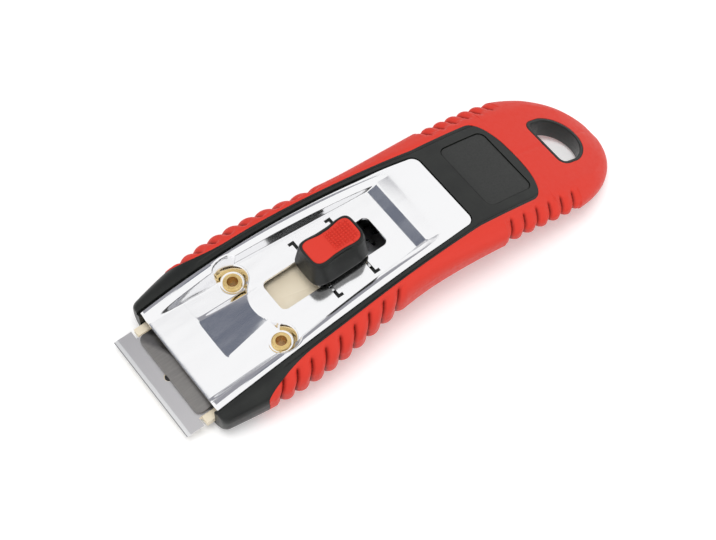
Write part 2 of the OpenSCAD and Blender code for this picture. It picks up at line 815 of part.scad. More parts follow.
// The grip as one skin: an open shell round the core's sides and belly, which
// closes over the top at the tail
body_rings = [for (x = between(grip_x, tail_x)) wrap_ring(x, max(x, grip_x + seam))];
tail_rings = [
    for (x = between(tail_x, handle_len))
        concat(both_sides(ribbed(x, spread(grip_edge(x), 180, wrap_steps))), lid(x))
];
module grip_skin() {
    shell_n = len(body_rings[0]);
    outer_n = shell_n / 2;
    tail_n = len(tail_rings[0]);
    lid_n = tail_n - outer_n;
    body_last = len(body_rings) - 1;
    tail_last = len(tail_rings) - 1;
    lid_start = shell_n * (body_last + 1);
    joint = [for (i = [0:outer_n - 1]) shell_n * body_last + i];
    lid_row = [for (i = [0:lid_n - 1]) lid_start + i];
    body_rows = [for (r = [0:body_last]) [for (i = [0:shell_n - 1]) r * shell_n + i]];
    tail_rows = concat(
        [concat(joint, lid_row)],
        [for (r = [1:tail_last]) [for (i = [0:tail_n - 1]) lid_start + lid_n + (r - 1) * tail_n + i]]
    );
    front = [
        for (i = [0:outer_n - 2])
            let (inner = shell_n - 1 - i)
            each [[i + 1, i, inner], [i + 1, inner, inner - 1]]
    ];
    wall = concat(
        [joint[0]], reversed(lid_row),
        [for (i = [outer_n - 1:shell_n - 1]) shell_n * body_last + i]
    );
    polyhedron(
        concat(
            [for (ring = body_rings) each ring],
            [for (i = [outer_n:tail_n - 1]) tail_rings[0][i]],
            [for (r = [1:tail_last]) each tail_rings[r]],
            [middle_of(tail_x)]
        ),
        concat(
            front,
            [for (r = [0:body_last - 1]) each band(body_rows[r], body_rows[r + 1])],
            [for (r = [0:tail_last - 1]) each band(tail_rows[r], tail_rows[r + 1])],
            [tail_rows[tail_last]],
            fan(wall, lid_start + lid_n + tail_last * tail_n)
        ),
        convexity = 10
    );
}

module grip() {
    color([0.88, 0.25, 0.20]) lay_flat() difference() {
        grip_skin();
        in_tail() tail_slab();
        half_moon(lining_t);
        mirrored_too()
            translate([eyelet_x, eyelet_span / 2, -deep])
                cylinder(r = washer_d / 2 + slide_fit, h = deep + floor_z);
    }
}

module label_plate() {
    color([0.30, 0.30, 0.30]) lay() intersection() {
        label_block(0, label_low - label_t);
        difference() {
            under_arch(label_sink);
            under_arch(label_sink + label_t);
        }
    }
}

module bed_plate() {
    color([0.62, 0.63, 0.64]) lay() {
        half = chamber_half - slide_fit;
        waist = channel_half - seat_fit;
        translate([over, -half, floor_z])
            cube([chamber_end - over - seat_fit, 2 * half, bed_t]);
        translate([chamber_end - over, -waist, floor_z])
            cube([rear_front - chamber_end + 2 * over, 2 * waist, bed_t]);
        translate([rear_front + seat_fit, -rear_half + seat_fit, floor_z])
            cube([rear_end - rear_front - 2 * seat_fit, 2 * (rear_half - seat_fit), bed_t]);
    }
}

module eyelet(side) {
    roll = eyelet_head_t / 2;
    color([0.85, 0.70, 0.42]) lay() translate([eyelet_x, side * eyelet_span / 2, 0])
        difference() {
            union() {
                translate([0, 0, bay_z - eyelet_len])
                    cylinder(r = eyelet_r, h = eyelet_len);
                for (z = [bay_z, bay_z - eyelet_len - 2 * roll]) translate([0, 0, z]) {
                    cylinder(r = eyelet_head / 2 - roll, h = 2 * roll);
                    rotate_extrude()
                        translate([eyelet_head / 2 - roll, roll])
                            circle(r = roll);
                }
            }
            translate([0, 0, -deep])
                cylinder(r = eyelet_bore / 2, h = deep + over);
        }
}
module washer(side) {
    color([0.66, 0.67, 0.68]) lay()
        translate([eyelet_x, side * eyelet_span / 2, spot_z - washer_t]) difference() {
            cylinder(r = washer_d / 2, h = washer_t);
            translate([0, 0, -over])
                cylinder(r = eyelet_r + seat_fit, h = washer_t + 2 * over);
        }
}
module eyelet_far() { eyelet(1); }
module eyelet_near() { eyelet(-1); }
module washer_far() { washer(1); }
module washer_near() { washer(-1); }

// Notches in the blade's ends and the carrier's ears in them
notch_front = notch_x - blade_out;
ear_set = clamp_t;
module ear() {
    length = notch_len - ear_set - slide_fit;
    low = seat_w / 2 - over;
    translate([notch_front + ear_set, low, seat_bottom])
        cube([length, blade_w / 2 - low, seat_t]);
    translate([notch_front + ear_set, seat_w / 2 + slide_fit, seat_bottom])
        cube([length, blade_w / 2 - seat_w / 2 - slide_fit, seat_t + 2 * blade_t]);
}

module blade_carrier() {
    color([0.93, 0.88, 0.78]) lay() difference() {
        union() {
            translate([seat_front, -seat_w / 2, seat_bottom])
                cube([seat_back - seat_front, seat_w, seat_t]);
            mirrored_too() ear();
            translate([blade_back + seat_fit, -seat_w / 2, seat_bottom])
                cube([seat_back - blade_back - seat_fit, seat_w, seat_t + blade_t]);
            translate([tongue_front, -tongue_w / 2, seat_bottom])
                cube([seat_back - tongue_front, tongue_w, tongue_top - seat_bottom]);
            translate([tongue_front, -tongue_w / 2, tongue_top - tongue_wall])
                cube([tongue_len, tongue_w, tongue_wall]);
            mirrored_too()
                translate([tongue_front, tongue_w / 2 - tongue_wall, seat_bottom])
                    cube([tongue_len, tongue_wall, tongue_top - seat_bottom]);
            translate([knob_x - bridge_len / 2, -pad_w / 2, tongue_top - tongue_wall / 2])
                cube([bridge_len, pad_w, leaf_bottom - tongue_top + tongue_wall / 2]);
        }
        translate([hole_x, 0, seat_bottom - over])
            cylinder(r = blade_hole / 2 - slide_fit + seat_fit, h = seat_t + 2 * over);
        mirrored_too() {
            translate([clamp_rivet_x, clamp_rivet_span / 2, seat_bottom - over])
                cylinder(r = clamp_rivet_d / 2 + seat_fit, h = seat_t + blade_t + 2 * over);
            translate([knob_x, leaf_rivet_span / 2, seat_bottom])
                cylinder(r = leaf_rivet_d / 2 + seat_fit, h = leaf_bottom - seat_bottom + over);
        }
    }
}

module blade() {
    middle = blade_top - blade_t / 2;
    color([0.80, 0.80, 0.81]) lay() difference() {
        across([
            [-blade_out, middle], [bevel_w - blade_out, blade_bottom],
            [blade_back, blade_bottom], [blade_back, blade_top], [bevel_w - blade_out, blade_top]
        ], blade_w);
        mirrored_too()
            translate([notch_front, blade_w / 2 - notch_d, blade_bottom - over])
                cube([notch_len, notch_d + over, blade_t + 2 * over]);
        translate([hole_x, 0, blade_bottom - over])
            cylinder(r = blade_hole / 2, h = blade_t + 2 * over);
    }
}
module blade_pin() {
    color([0.25, 0.25, 0.26]) lay() translate([hole_x, 0, seat_bottom])
        cylinder(r = blade_hole / 2 - slide_fit, h = seat_t + blade_t - seat_fit);
}

module clamp_plate() {
    tail = clamp_back - tongue_front + slide_fit;
    color([0.55, 0.54, 0.53]) lay() difference() {
        translate([clamp_front, -clamp_w / 2, blade_top])
            round_plate([clamp_back - clamp_front, clamp_w], clamp_r, clamp_t);
        translate([tongue_front - slide_fit, -channel_half, blade_top - over])
            cube([tail + over, 2 * channel_half, clamp_t + 2 * over]);
        mirrored_too()
            translate([clamp_rivet_x, clamp_rivet_span / 2, blade_top - over])
                cylinder(r = clamp_rivet_d / 2 + seat_fit, h = clamp_t + 2 * over);
    }
}
rivet_head_share = 1.5;
module clamp_rivet(side) {
    head_r = rivet_head_share * clamp_rivet_d / 2;
    color([0.72, 0.72, 0.73]) lay()
        translate([clamp_rivet_x, side * clamp_rivet_span / 2, seat_bottom]) {
            length = seat_t + blade_t + clamp_t;
            cylinder(r = clamp_rivet_d / 2, h = length);
            translate([0, 0, length])
                cylinder(r1 = head_r, r2 = clamp_rivet_d / 2, h = clamp_head_t);
        }
}
module clamp_rivet_far() { clamp_rivet(1); }
module clamp_rivet_near() { clamp_rivet(-1); }

module lock_spring() {
    lug_y = rail_span / 2 - rail_w / 2;
    lug_w = rail_w - lug_t / 2;
    color([0.70, 0.71, 0.72]) lay() difference() {
        union() {
            translate([knob_x - bridge_len / 2, -rail_span / 2, leaf_bottom])
                cube([bridge_len, rail_span, leaf_t]);
            mirrored_too()
                translate([slit_x - lug_t, rail_span / 2 - rail_w, leaf_bottom])
                    cube([slit_pitch + 2 * lug_t, rail_w, leaf_t]);
            for (x = [slit_x, slit_x + slit_pitch])
                mirrored_too()
                    translate([x - lug_t / 2, lug_y - lug_w / 2, leaf_bottom])
                        cube([lug_t, lug_w, -lug_sink - leaf_bottom]);
        }
        mirrored_too()
            translate([knob_x, leaf_rivet_span / 2, leaf_bottom - over])
                cylinder(r = leaf_rivet_d / 2 + seat_fit, h = leaf_t + 2 * over);
    }
}
module leaf_rivet(side) {
    head_r = rivet_head_share * leaf_rivet_d / 2;
    low = tongue_top - tongue_wall;
    color([0.72, 0.72, 0.73]) lay()
        translate([knob_x, side * leaf_rivet_span / 2, 0]) {
            translate([0, 0, low])
                cylinder(r = leaf_rivet_d / 2, h = foot_bottom - low);
            for (z = [low - leaf_head_t, foot_bottom])
                translate([0, 0, z])
                    cylinder(r = head_r, h = leaf_head_t);
        }
}
module leaf_rivet_far() { leaf_rivet(1); }
module leaf_rivet_near() { leaf_rivet(-1); }

// One level of the knob: a waisted oblong with round corners
knob_corners = 48;
knob_corner_power = 0.45;
function sign_pow(v, power) = sign(v) * pow(abs(v), power);
function knob_ring(z, length, width, waist, edge) = [
    for (i = [0:knob_corners - 1])
        let (
            a = -360 * (i + 0.5) / knob_corners,
            u = sign_pow(cos(a), knob_corner_power),
            v = sign_pow(sin(a), knob_corner_power),
            half = width / 2 - waist * pow(cos(90 * u), 2)
        )
        [knob_x + u * (length / 2 - edge), v * (half - edge), z]
];
knob_level_shares = [0, 0.06, 0.3, 0.6, 0.94, 1];
knob_round = insert_edge / 2;
function knob_level(share, edge) = knob_ring(
    mix(knob_bottom, knob_z, share), mix(knob_len, knob_top_len, share),
    mix(knob_w, knob_top_w, share), knob_waist * share, edge
);
dish_r = (pow(knob_top_len / 2, 2) + pow(knob_dish, 2)) / (2 * knob_dish);
module dish() {
    translate([knob_x, 0, knob_z - knob_dish + dish_r])
        rotate([90, 0, 0])
            cylinder(r = dish_r, h = 2 * knob_w, center = true, $fn = round_steps);
}
module insert_block() {
    loft([
        for (z = [insert_bottom, knob_z + over])
            knob_ring(z, knob_top_len, knob_top_w, knob_waist, insert_edge)
    ]);
}
stem_half = slot_w / 2 - slide_fit;
pad_room = [bridge_len / 2 + slide_fit, pad_w / 2 + slide_fit];
module knob_body() {
    color([0.15, 0.15, 0.15]) lay() difference() {
        union() {
            loft([
                for (share = knob_level_shares)
                    knob_level(share, share == 0 || share == 1 ? knob_round : 0)
            ]);
            translate([knob_x - stem_len / 2, -stem_half, foot_top])
                round_plate([stem_len, 2 * stem_half], slot_r - slide_fit,
                    knob_bottom - foot_top + over);
        }
        insert_block();
        dish();
        translate([knob_x - pad_room[0], -pad_room[1], foot_top - over])
            cube([2 * pad_room[0], 2 * pad_room[1], over + press + slide_fit]);
        for (x = [-screw_span / 2, screw_span / 2])
            translate([knob_x + x, 0, foot_top - over])
                cylinder(r = screw_d / 2 + seat_fit, h = over + screw_len - foot_t + slide_fit);
    }
}
module knob_insert() {
    color([0.88, 0.25, 0.20]) lay() difference() {
        insert_block();
        dish();
    }
}

// Cross section that screws and foot plate share
screw_head_share = 1.7;
screw_sink_share = 0.6;
screw_head_r = screw_head_share * screw_d / 2;
screw_head_t = screw_sink_share * foot_t;
module screw_shape(grow, length) {
    cylinder(r = screw_d / 2 + grow, h = length);
    cylinder(r1 = screw_head_r + grow, r2 = screw_d / 2 + grow, h = screw_head_t);
}
module knob_foot() {
    color([0.66, 0.67, 0.68]) lay() difference() {
        translate([knob_x - foot_len / 2, -foot_w / 2, foot_bottom])
            round_plate([foot_len, foot_w], clamp_t, foot_t);
        translate([knob_x - pad_room[0], -pad_room[1], foot_bottom - over])
            cube([2 * pad_room[0], 2 * pad_room[1], foot_t + 2 * over]);
        for (x = [-screw_span / 2, screw_span / 2])
            translate([knob_x + x, 0, foot_bottom])
                screw_shape(seat_fit, foot_t + over);
    }
}
module screw(place) {
    color([0.70, 0.71, 0.72]) lay()
        translate([knob_x + place * screw_span / 2, 0, foot_bottom]) difference() {
            screw_shape(0, screw_len);
            translate([-screw_head_r - over, -leaf_t / 2, -over])
                cube([2 * (screw_head_r + over), leaf_t, over + screw_head_t / 2]);
        }
}
module screw_front() { screw(-1); }
module screw_rear() { screw(1); }

core();
grip();
cover_plate();
label_plate();
bed_plate();
eyelet_far();
eyelet_near();
washer_far();
washer_near();
blade_carrier();
blade();
blade_pin();
clamp_plate();
clamp_rivet_far();
clamp_rivet_near();
lock_spring();
leaf_rivet_far();
leaf_rivet_near();
knob_body();
knob_insert();
knob_foot();
screw_front();
screw_rear();
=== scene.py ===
# %% [markdown]
# # A razor blade scraper, dressed for its photograph
#
# The tool is a hard black core with a soft red grip moulded round it, a bright pressed cover on
# top, and a cream carriage that slides the blade in and out when the knob is pressed. The solids
# already hold the real sizes and the two joints, so this lesson adds what a solid model lacks:
# soft transitions in the pressed sheet, ribs that swell and fade, rounded edges and real finishes.
#
# Two frames are used. The *row frame* is the table's: the tool lies on it. The *slide frame* is the
# mechanism's: x runs along the slide from the nose face, z = 0 is the cover's raised plateau. All
# shapes are worked out in millimetres in the slide frame and laid down on the table at the end.

# %% Load the frame
import json
import math

import bmesh
import bpy
import numpy as np
from mathutils import Matrix, Vector


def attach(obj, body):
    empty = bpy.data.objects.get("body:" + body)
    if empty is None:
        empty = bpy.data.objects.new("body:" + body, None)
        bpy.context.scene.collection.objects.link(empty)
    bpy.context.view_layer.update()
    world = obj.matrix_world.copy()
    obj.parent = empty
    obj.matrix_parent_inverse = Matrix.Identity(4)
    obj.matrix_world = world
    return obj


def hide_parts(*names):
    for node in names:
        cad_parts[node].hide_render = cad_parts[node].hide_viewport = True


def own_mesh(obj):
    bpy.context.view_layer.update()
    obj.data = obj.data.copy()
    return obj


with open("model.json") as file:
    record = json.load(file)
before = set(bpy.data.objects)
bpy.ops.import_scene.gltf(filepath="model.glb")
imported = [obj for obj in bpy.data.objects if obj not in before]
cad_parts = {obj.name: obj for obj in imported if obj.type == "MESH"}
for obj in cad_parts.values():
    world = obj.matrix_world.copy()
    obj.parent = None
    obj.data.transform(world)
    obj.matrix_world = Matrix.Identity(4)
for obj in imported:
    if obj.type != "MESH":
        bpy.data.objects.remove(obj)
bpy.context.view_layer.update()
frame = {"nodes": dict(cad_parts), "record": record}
record = frame["record"]

# %% [markdown]
# The slide leans up a few degrees towards the tail. Its direction is the axis of the blade's slide
# joint, and an eyelet's bore, whose place is known in both frames, gives the shift.

# %% The slide frame on the table
EYELET_X, EYELET_Y, BORE_MIDDLE_Z = 29.8, 12.8, -6.85
slide_axis = next(j for j in record["behaviour"]["joints"] if j["name"] == "blade_slide")["axis"]
LEAN = math.atan2(slide_axis[2], slide_axis[0])
bore = next(m for m in record["mounts"] if m["name"] == "eyelet_bore_far")["pos_m"]
COS, SIN = math.cos(LEAN), math.sin(LEAN)
SHIFT_X = bore[0] * 1000 - (EYELET_X * COS - BORE_MIDDLE_Z * SIN)
SHIFT_Z = bore[2] * 1000 - (EYELET_X * SIN + BORE_MIDDLE_Z * COS)


def turned(v):
    """A direction of the slide frame, as the row frame has it."""
    x, y, z = np.moveaxis(np.asarray(v, dtype=float), -1, 0)
    return np.stack([x * COS - z * SIN, y, x * SIN + z * COS], axis=-1)


def laid(points):
    """Points of the slide frame, in millimetres, as row-frame metres."""
    return (turned(points) + np.array([SHIFT_X, 0, SHIFT_Z])) / 1000


print("lean %.2f degrees, shift %.2f %.2f mm" % (math.degrees(LEAN), SHIFT_X, SHIFT_Z))

# %% [markdown]
# Most shapes here are skins over rows of points, so one helper turns rows into a mesh. Smooth
# shading with sharp edges kept above a chosen angle gives the look of moulded and pressed parts.

# %% Mesh helpers
def new_piece(name, vertices, faces, sharp_deg=40):
    mesh = bpy.data.meshes.new(name)
    mesh.from_pydata([tuple(v) for v in laid(vertices)], [], faces)
    mesh.update()
    obj = bpy.data.objects.new(name, mesh)
    bpy.context.collection.objects.link(obj)
    tidy_normals(obj, sharp_deg)
    return obj


def tidy_normals(obj, sharp_deg=40):
    mesh = obj.data
    bm = bmesh.new()
    bm.from_mesh(mesh)
    bmesh.ops.remove_doubles(bm, verts=bm.verts, dist=1e-7)
    bmesh.ops.recalc_face_normals(bm, faces=bm.faces)
    bm.to_mesh(mesh)
    bm.free()
    mesh.shade_smooth()
    mesh.set_sharp_from_angle(angle=math.radians(sharp_deg))
    mesh.update()


def row_faces(rows, columns, closed, start=0):
    """Quads over a grid of rows, closed when each row is a ring."""
    faces = []
    last = columns if closed else columns - 1
    for r in range(rows - 1):
        for c in range(last):
            d = (c + 1) % columns
            a, b = start + r * columns, start + (r + 1) * columns
            faces.append((a + c, a + d, b + d, b + c))
    return faces


def ring_skin(name, rings, sharp_deg=40):
    """A closed skin over rings that all have the same number of points, with both ends capped."""
    rings = np.asarray(rings, dtype=float)
    n_rows, n_cols = rings.shape[:2]
    faces = row_faces(n_rows, n_cols, True)
    faces.append(tuple(reversed(range(n_cols))))
    faces.append(tuple((n_rows - 1) * n_cols + i for i in range(n_cols)))
    return new_piece(name, rings.reshape(-1, 3), faces, sharp_deg)


def baked(obj, sharp_deg=40):
    """Applies what modifiers the object has, so that it is a plain mesh."""
    depsgraph = bpy.context.evaluated_depsgraph_get()
    mesh = bpy.data.meshes.new_from_object(obj.evaluated_get(depsgraph), depsgraph=depsgraph)
    old = obj.data
    obj.modifiers.clear()
    obj.data = mesh
    bpy.data.meshes.remove(old)
    mesh.name = obj.name
    tidy_normals(obj, sharp_deg)
    return obj


def combined(obj, others, operation="DIFFERENCE", sharp_deg=40):
    """Takes other solids out of the object, or adds them to it, then deletes them."""
    for other in others:
        modifier = obj.modifiers.new("combine", "BOOLEAN")
        modifier.operation = operation
        modifier.solver = "EXACT"
        modifier.object = other
    baked(obj, sharp_deg)
    for other in others:
        bpy.data.objects.remove(other, do_unlink=True)
    return obj


def prism(name, outline, low, high):
    """An upright prism in the slide frame over an outline in x and y."""
    return ring_skin(name, [[(x, y, z) for x, y in outline] for z in (low, high)])


def block(name, x0, x1, y0, y1, z0, z1):
    return prism(name, [(x0, y0), (x1, y0), (x1, y1), (x0, y1)], z0, z1)


def round_outline(x0, x1, y0, y1, radius, steps=8):
    """A rectangle with round corners."""
    points = []
    for cx, cy, start in ((x1, y1, 0), (x0, y1, 90), (x0, y0, 180), (x1, y0, 270)):
        sx, sy = (1 if cx == x1 else -1), (1 if cy == y1 else -1)
        for i in range(steps + 1):
            a = math.radians(start + 90 * i / steps)
            points.append((cx - sx * radius + radius * math.cos(a),
                           cy - sy * radius + radius * math.sin(a)))
    return points


def disc_outline(cx, cy, radius, steps=48):
    turn = [2 * math.pi * i / steps for i in range(steps)]
    return [(cx + radius * math.cos(a), cy + radius * math.sin(a)) for a in turn]


def smooth_step(t):
    t = np.clip(t, 0, 1)
    return t * t * (3 - 2 * t)


def rest_on_table(obj):
    """Wears flat what would reach below the table, as the real pads are."""
    for vertex in obj.data.vertices:
        vertex.co.z = max(vertex.co.z, 0.0)
    obj.data.update()


# %% [markdown]
# Pieces whose solid is right but too sharp get a softened copy: the solid's own mesh, merged, with
# a small bevel on every edge. Sharp edges never catch the light, and real ones always do.

# %% Softened copies of solids
def softened(node, width_mm):
    obj = bpy.data.objects.new(node + "_soft", frame["nodes"][node].data.copy())
    bpy.context.collection.objects.link(obj)
    bm = bmesh.new()
    bm.from_mesh(obj.data)
    bmesh.ops.remove_doubles(bm, verts=bm.verts, dist=2e-6)
    bmesh.ops.dissolve_limit(bm, angle_limit=math.radians(1), verts=bm.verts, edges=bm.edges)
    bm.to_mesh(obj.data)
    bm.free()
    bevel = obj.modifiers.new("edge", "BEVEL")
    bevel.width = width_mm / 1000
    bevel.segments = 2
    bevel.limit_method = "ANGLE"
    bevel.angle_limit = math.radians(40)
    bevel.harden_normals = False
    baked(obj, 50)
    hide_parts(node)
    return obj


# %% [markdown]
# ## The handle's form
#
# Seen from above the handle is a nose that widens to the shoulders, a waist and a round tail. Seen
# from the side it is an arch. Every section is flat on top as far as the rim, then swells to its
# widest line and rounds off under the belly. These rules are the same as in the solids.

# %% Rules of the handle's form
HANDLE_LEN, GRIP_X, TAIL_X, GRIP_T, GRIP_CURL = 170.0, 14.8, 133.8, 2.4, 21.2
ARCH_R, ARCH_H, ARCH_X = 246.0, 4.1, 48.8
SHOULDER_X, WAIST_X, HIP_X = 31.0, 82.0, 133.0
NOSE_W, SHOULDER_W, WAIST_W, HIP_W, NOSE_CORNER_R = 50, 58, 47.8, 51.4, 2.2
BODY_X, NOSE_T, BODY_T = 58, 12.4, 18
COVER_X, COVER_LEN, SHEET_T = 0.9, 102.9, 1.0
COVER_FRONT_W, COVER_REAR_W, COVER_SWELL = 42.2, 30.6, 1.6
COVER_END = COVER_X + COVER_LEN
HANG_X, TAIL_T = 147.6, 8.8
FLAT_TOP = 60.0


def mix(a, b, t):
    return a + (b - a) * t


def ease(t):
    return (1 - np.cos(np.pi * np.clip(t, 0, 1))) / 2


def top_line(x):
    return ARCH_H - ARCH_R + np.sqrt(ARCH_R ** 2 - (x - ARCH_X) ** 2)


def cover_half(x):
    t = np.clip((x - COVER_X) / COVER_LEN, 0, 1)
    return mix(COVER_FRONT_W, COVER_REAR_W, t) / 2 + 4 * COVER_SWELL * t * (1 - t)


def half_wide(x):
    r = NOSE_CORNER_R
    corner = np.where(x < r, r - np.sqrt(np.maximum(r ** 2 - (r - x) ** 2, 0)), 0)
    swell = np.sin(np.pi / 2 * np.clip(x / SHOULDER_X, 0, 1))
    nose = mix(NOSE_W, SHOULDER_W, swell) / 2 - corner
    front = mix(SHOULDER_W, WAIST_W, ease((x - SHOULDER_X) / (WAIST_X - SHOULDER_X))) / 2
    rear = mix(WAIST_W, HIP_W, ease((x - WAIST_X) / (HIP_X - WAIST_X))) / 2
    u = 0.985 * np.clip((x - HIP_X) / (HANDLE_LEN - HIP_X), 0, 1)
    tail = HIP_W / 2 * np.sqrt(1 - u ** 2.15)
    behind = np.where(x < HIP_X, rear, tail)
    return np.where(x < SHOULDER_X, nose, np.where(x < WAIST_X, front, behind))


def full_thick(x):
    front = mix(NOSE_T, BODY_T, np.sin(np.pi / 2 * np.clip(x / BODY_X, 0, 1)))
    rear = mix(BODY_T, TAIL_T, ease((x - BODY_X) / (HANG_X - BODY_X)))
    return np.where(x < BODY_X, front, rear)


def end_round(x):
    u = np.clip((x - HANDLE_LEN + TAIL_T) / TAIL_T, 0, 1)
    return np.sqrt(1 - 0.8 * u ** 2)


def top_z(x):
    return top_line(x) - full_thick(x) * (1 - end_round(x)) / 2


def belly_z(x):
    return top_line(x) - full_thick(x) * (1 + end_round(x)) / 2


def wide_z(x):
    body = mix(0.33, 0.45, ease((x - WAIST_X) / (HANG_X - WAIST_X)))
    share = np.where(x < SHOULDER_X, mix(0.27, 0.33, ease(x / SHOULDER_X)), body)
    return mix(top_z(x), belly_z(x), share)


def rim_half(x):
    t = np.clip((x - TAIL_X) / (HANDLE_LEN - TAIL_X), 0, 1)
    return np.minimum(cover_half(x) + 0.9, half_wide(x) * mix(0.92, 0.62, t))


def skin(x, girth, inset=0.0):
    """A point of the handle's skin. Girth runs from -60 on the middle of the flat top to 0 at the
    rim, 90 at the widest line and 180 under the belly; inset is the depth below the skin."""
    x, girth, inset = np.broadcast_arrays(*(np.asarray(v, float) for v in (x, girth, inset)))
    a = np.radians(np.clip(girth, 0, 180))
    wide, rim = half_wide(x) - inset, rim_half(x)
    s, c = np.clip(np.sin(a), 0, 1), np.cos(a)
    upper = girth <= 90
    y = np.where(upper, rim + (wide - rim) * s ** 0.86, wide * s ** 0.62)
    y = np.where(girth < 0, rim * (1 + girth / FLAT_TOP), y)
    z = np.where(
        upper,
        wide_z(x) + (top_z(x) - inset - wide_z(x)) * np.abs(c) ** 0.86,
        wide_z(x) - (wide_z(x) - belly_z(x) - inset) * np.abs(c) ** 0.62,
    )
    return np.stack([x, y, z], axis=-1)


print("widest %.1f mm, thickest %.1f mm" % (2 * half_wide(SHOULDER_X), full_thick(BODY_X)))

# %% [markdown]
# The soft grip's edge runs beside the black rim. It sweeps down in front, and at the tail it turns
# across the flat top in a round-cornered line behind the label.

# %% The grip's edge
PANEL_TURN = 8.0


def grip_edge(x):
    x = np.asarray(x, float)
    t = np.clip((x - GRIP_X) / GRIP_CURL, 0, 1)
    edge = mix(78, 8, np.sqrt(1 - (1 - t) ** 2))
    u = np.clip((x - TAIL_X + PANEL_TURN) / PANEL_TURN, 0, 1)
    rim, wide = rim_half(x), half_wide(x)
    reach = (rim + (wide - rim) * math.sin(math.radians(8)) ** 0.86) * (1 - u ** 2.4) ** (1 / 2.3)
    share = np.clip((reach - rim) / (wide - rim), 0, 1) ** (1 / 0.86)
    turned_edge = np.where(reach > rim, np.degrees(np.arcsin(share)), -FLAT_TOP * (1 - reach / rim))
    return np.where(u > 0, turned_edge, edge)


print("edge at the shoulder %.0f, behind the label %.0f" % (grip_edge(36.0), grip_edge(TAIL_X)))

# %% [markdown]
# ## The soft grip
#
# The grip is moulded round the core in one shot, so it is one skin: an open shell along the body
# that closes over the top at the tail. Each point keeps how far along and how far round it lies,
# for the ribs that are pressed into it next.

# %% Grip skin
def both_sides(side):
    """One side's points, top first, carried round to the other side."""
    other = side[:, -2::-1].copy()
    other[..., 1] *= -1
    return np.concatenate([side, other], axis=1)


def mirrored_values(values):
    return np.concatenate([values, values[:, -2::-1]], axis=1)


GRIP_STEPS = 62
LEAN_OF_RIBS = 2.6
share = np.linspace(0, 1, GRIP_STEPS)[None, :] ** 1.15
body_xs = np.unique(np.concatenate([
    np.linspace(GRIP_X, 72, 200), np.linspace(72, 108, 34), np.linspace(108, TAIL_X, 110)]))
tail_xs = np.concatenate([
    np.linspace(TAIL_X, 146, 50)[1:-1], mix(146, HANDLE_LEN, np.sin(np.linspace(0, np.pi / 2, 44)))])
grip_xs = np.concatenate([body_xs, tail_xs])
edge = grip_edge(grip_xs)[:, None]
girth = edge + (180 - edge) * share
station = np.repeat(grip_xs[:, None], GRIP_STEPS, axis=1)
from_lip = (girth - edge) * 0.16
lip = -0.2 * (1 - np.exp(-from_lip / 0.35)) * smooth_step((26 - girth + np.maximum(edge, 0)) / 22)
outer = both_sides(skin(station, girth, lip))
inner = both_sides(skin(station, girth, GRIP_T))[:len(body_xs), ::-1]
outward = skin(station, girth, -0.5) - skin(station, girth, 0.5)
outward /= np.maximum(np.linalg.norm(outward, axis=-1, keepdims=True), 1e-9)
slanted = station - LEAN_OF_RIBS * np.clip((90 - girth) / 64, 0, 1)

n_out, n_body, n_all = outer.shape[1], len(body_xs), len(grip_xs)
vertices = np.concatenate([outer.reshape(-1, 3), inner.reshape(-1, 3)])
first_inner = n_all * n_out
faces = row_faces(n_all, n_out, False)
faces += row_faces(n_body, n_out, False, first_inner)
for r in range(n_body - 1):
    a, b = r * n_out, first_inner + r * n_out
    faces.append((a + n_out - 1, b, b + n_out, a + 2 * n_out - 1))
    faces.append((b + n_out - 1, a, a + n_out, b + 2 * n_out - 1))
faces.append(tuple(range(n_out)) + tuple(first_inner + i for i in range(n_out)))
faces.append(tuple(first_inner + (n_body - 1) * n_out + i for i in range(n_out)))
faces.append(tuple((n_all - 1) * n_out + i for i in range(n_out)))

grip_mesh = bpy.data.meshes.new("soft_grip")
grip_mesh.from_pydata([tuple(v) for v in laid(vertices)], [], faces)
soft_grip = bpy.data.objects.new("soft_grip", grip_mesh)
bpy.context.collection.objects.link(soft_grip)
print("grip stations:", n_all, "points:", len(vertices))

# %% [markdown]
# ## Ribs that follow a rule
#
# The ribs are rounded lobes between narrow valleys, leaning towards the nose, deepest on the
# flanks and faded out towards the rim and the belly. The valleys' spacing grows a little at each
# step in front and is even at the tail. That is a rule, so a Geometry Nodes tree presses them in,
# once for the front and once for the tail, from the same few named sizes.

# %% Attributes for the ribs
def set_attribute(mesh, name, kind, values):
    layer = mesh.attributes.new(name, kind, "POINT")
    flat = np.asarray(values, dtype=np.float32).ravel()
    layer.data.foreach_set("vector" if kind == "FLOAT_VECTOR" else "value", flat)


mirror = np.array([1, -1, 1])
outward_both = np.concatenate([outward, outward[:, -2::-1] * mirror], axis=1)
inner_points = inner.shape[0] * inner.shape[1]
for name, values in (("along", slanted), ("girth", girth)):
    flat = np.concatenate([mirrored_values(values).ravel(), np.zeros(inner_points)])
    set_attribute(grip_mesh, name, "FLOAT", flat)
set_attribute(grip_mesh, "outward", "FLOAT_VECTOR",
              np.concatenate([turned(outward_both).reshape(-1, 3), np.zeros((inner_points, 3))]))
print("attributes:", [a.name for a in grip_mesh.attributes if not a.name.startswith(".")])

# %% Small helpers for node trees
def math_node(tree, operation, *inputs):
    """A Math node fed with sockets or numbers; returns its output."""
    node = tree.nodes.new("ShaderNodeMath")
    node.operation = operation
    for socket, value in zip(node.inputs, inputs):
        if isinstance(value, (int, float)):
            socket.default_value = value
        else:
            tree.links.new(value, socket)
    return node.outputs[0]


def step_node(tree, value, start, end):
    """A smooth step from 0 at start to 1 at end."""
    node = tree.nodes.new("ShaderNodeMapRange")
    node.interpolation_type = "SMOOTHSTEP"
    for name, given in (("Value", value), ("From Min", start), ("From Max", end)):
        if isinstance(given, (int, float)):
            node.inputs[name].default_value = given
        else:
            tree.links.new(given, node.inputs[name])
    return node.outputs[0]


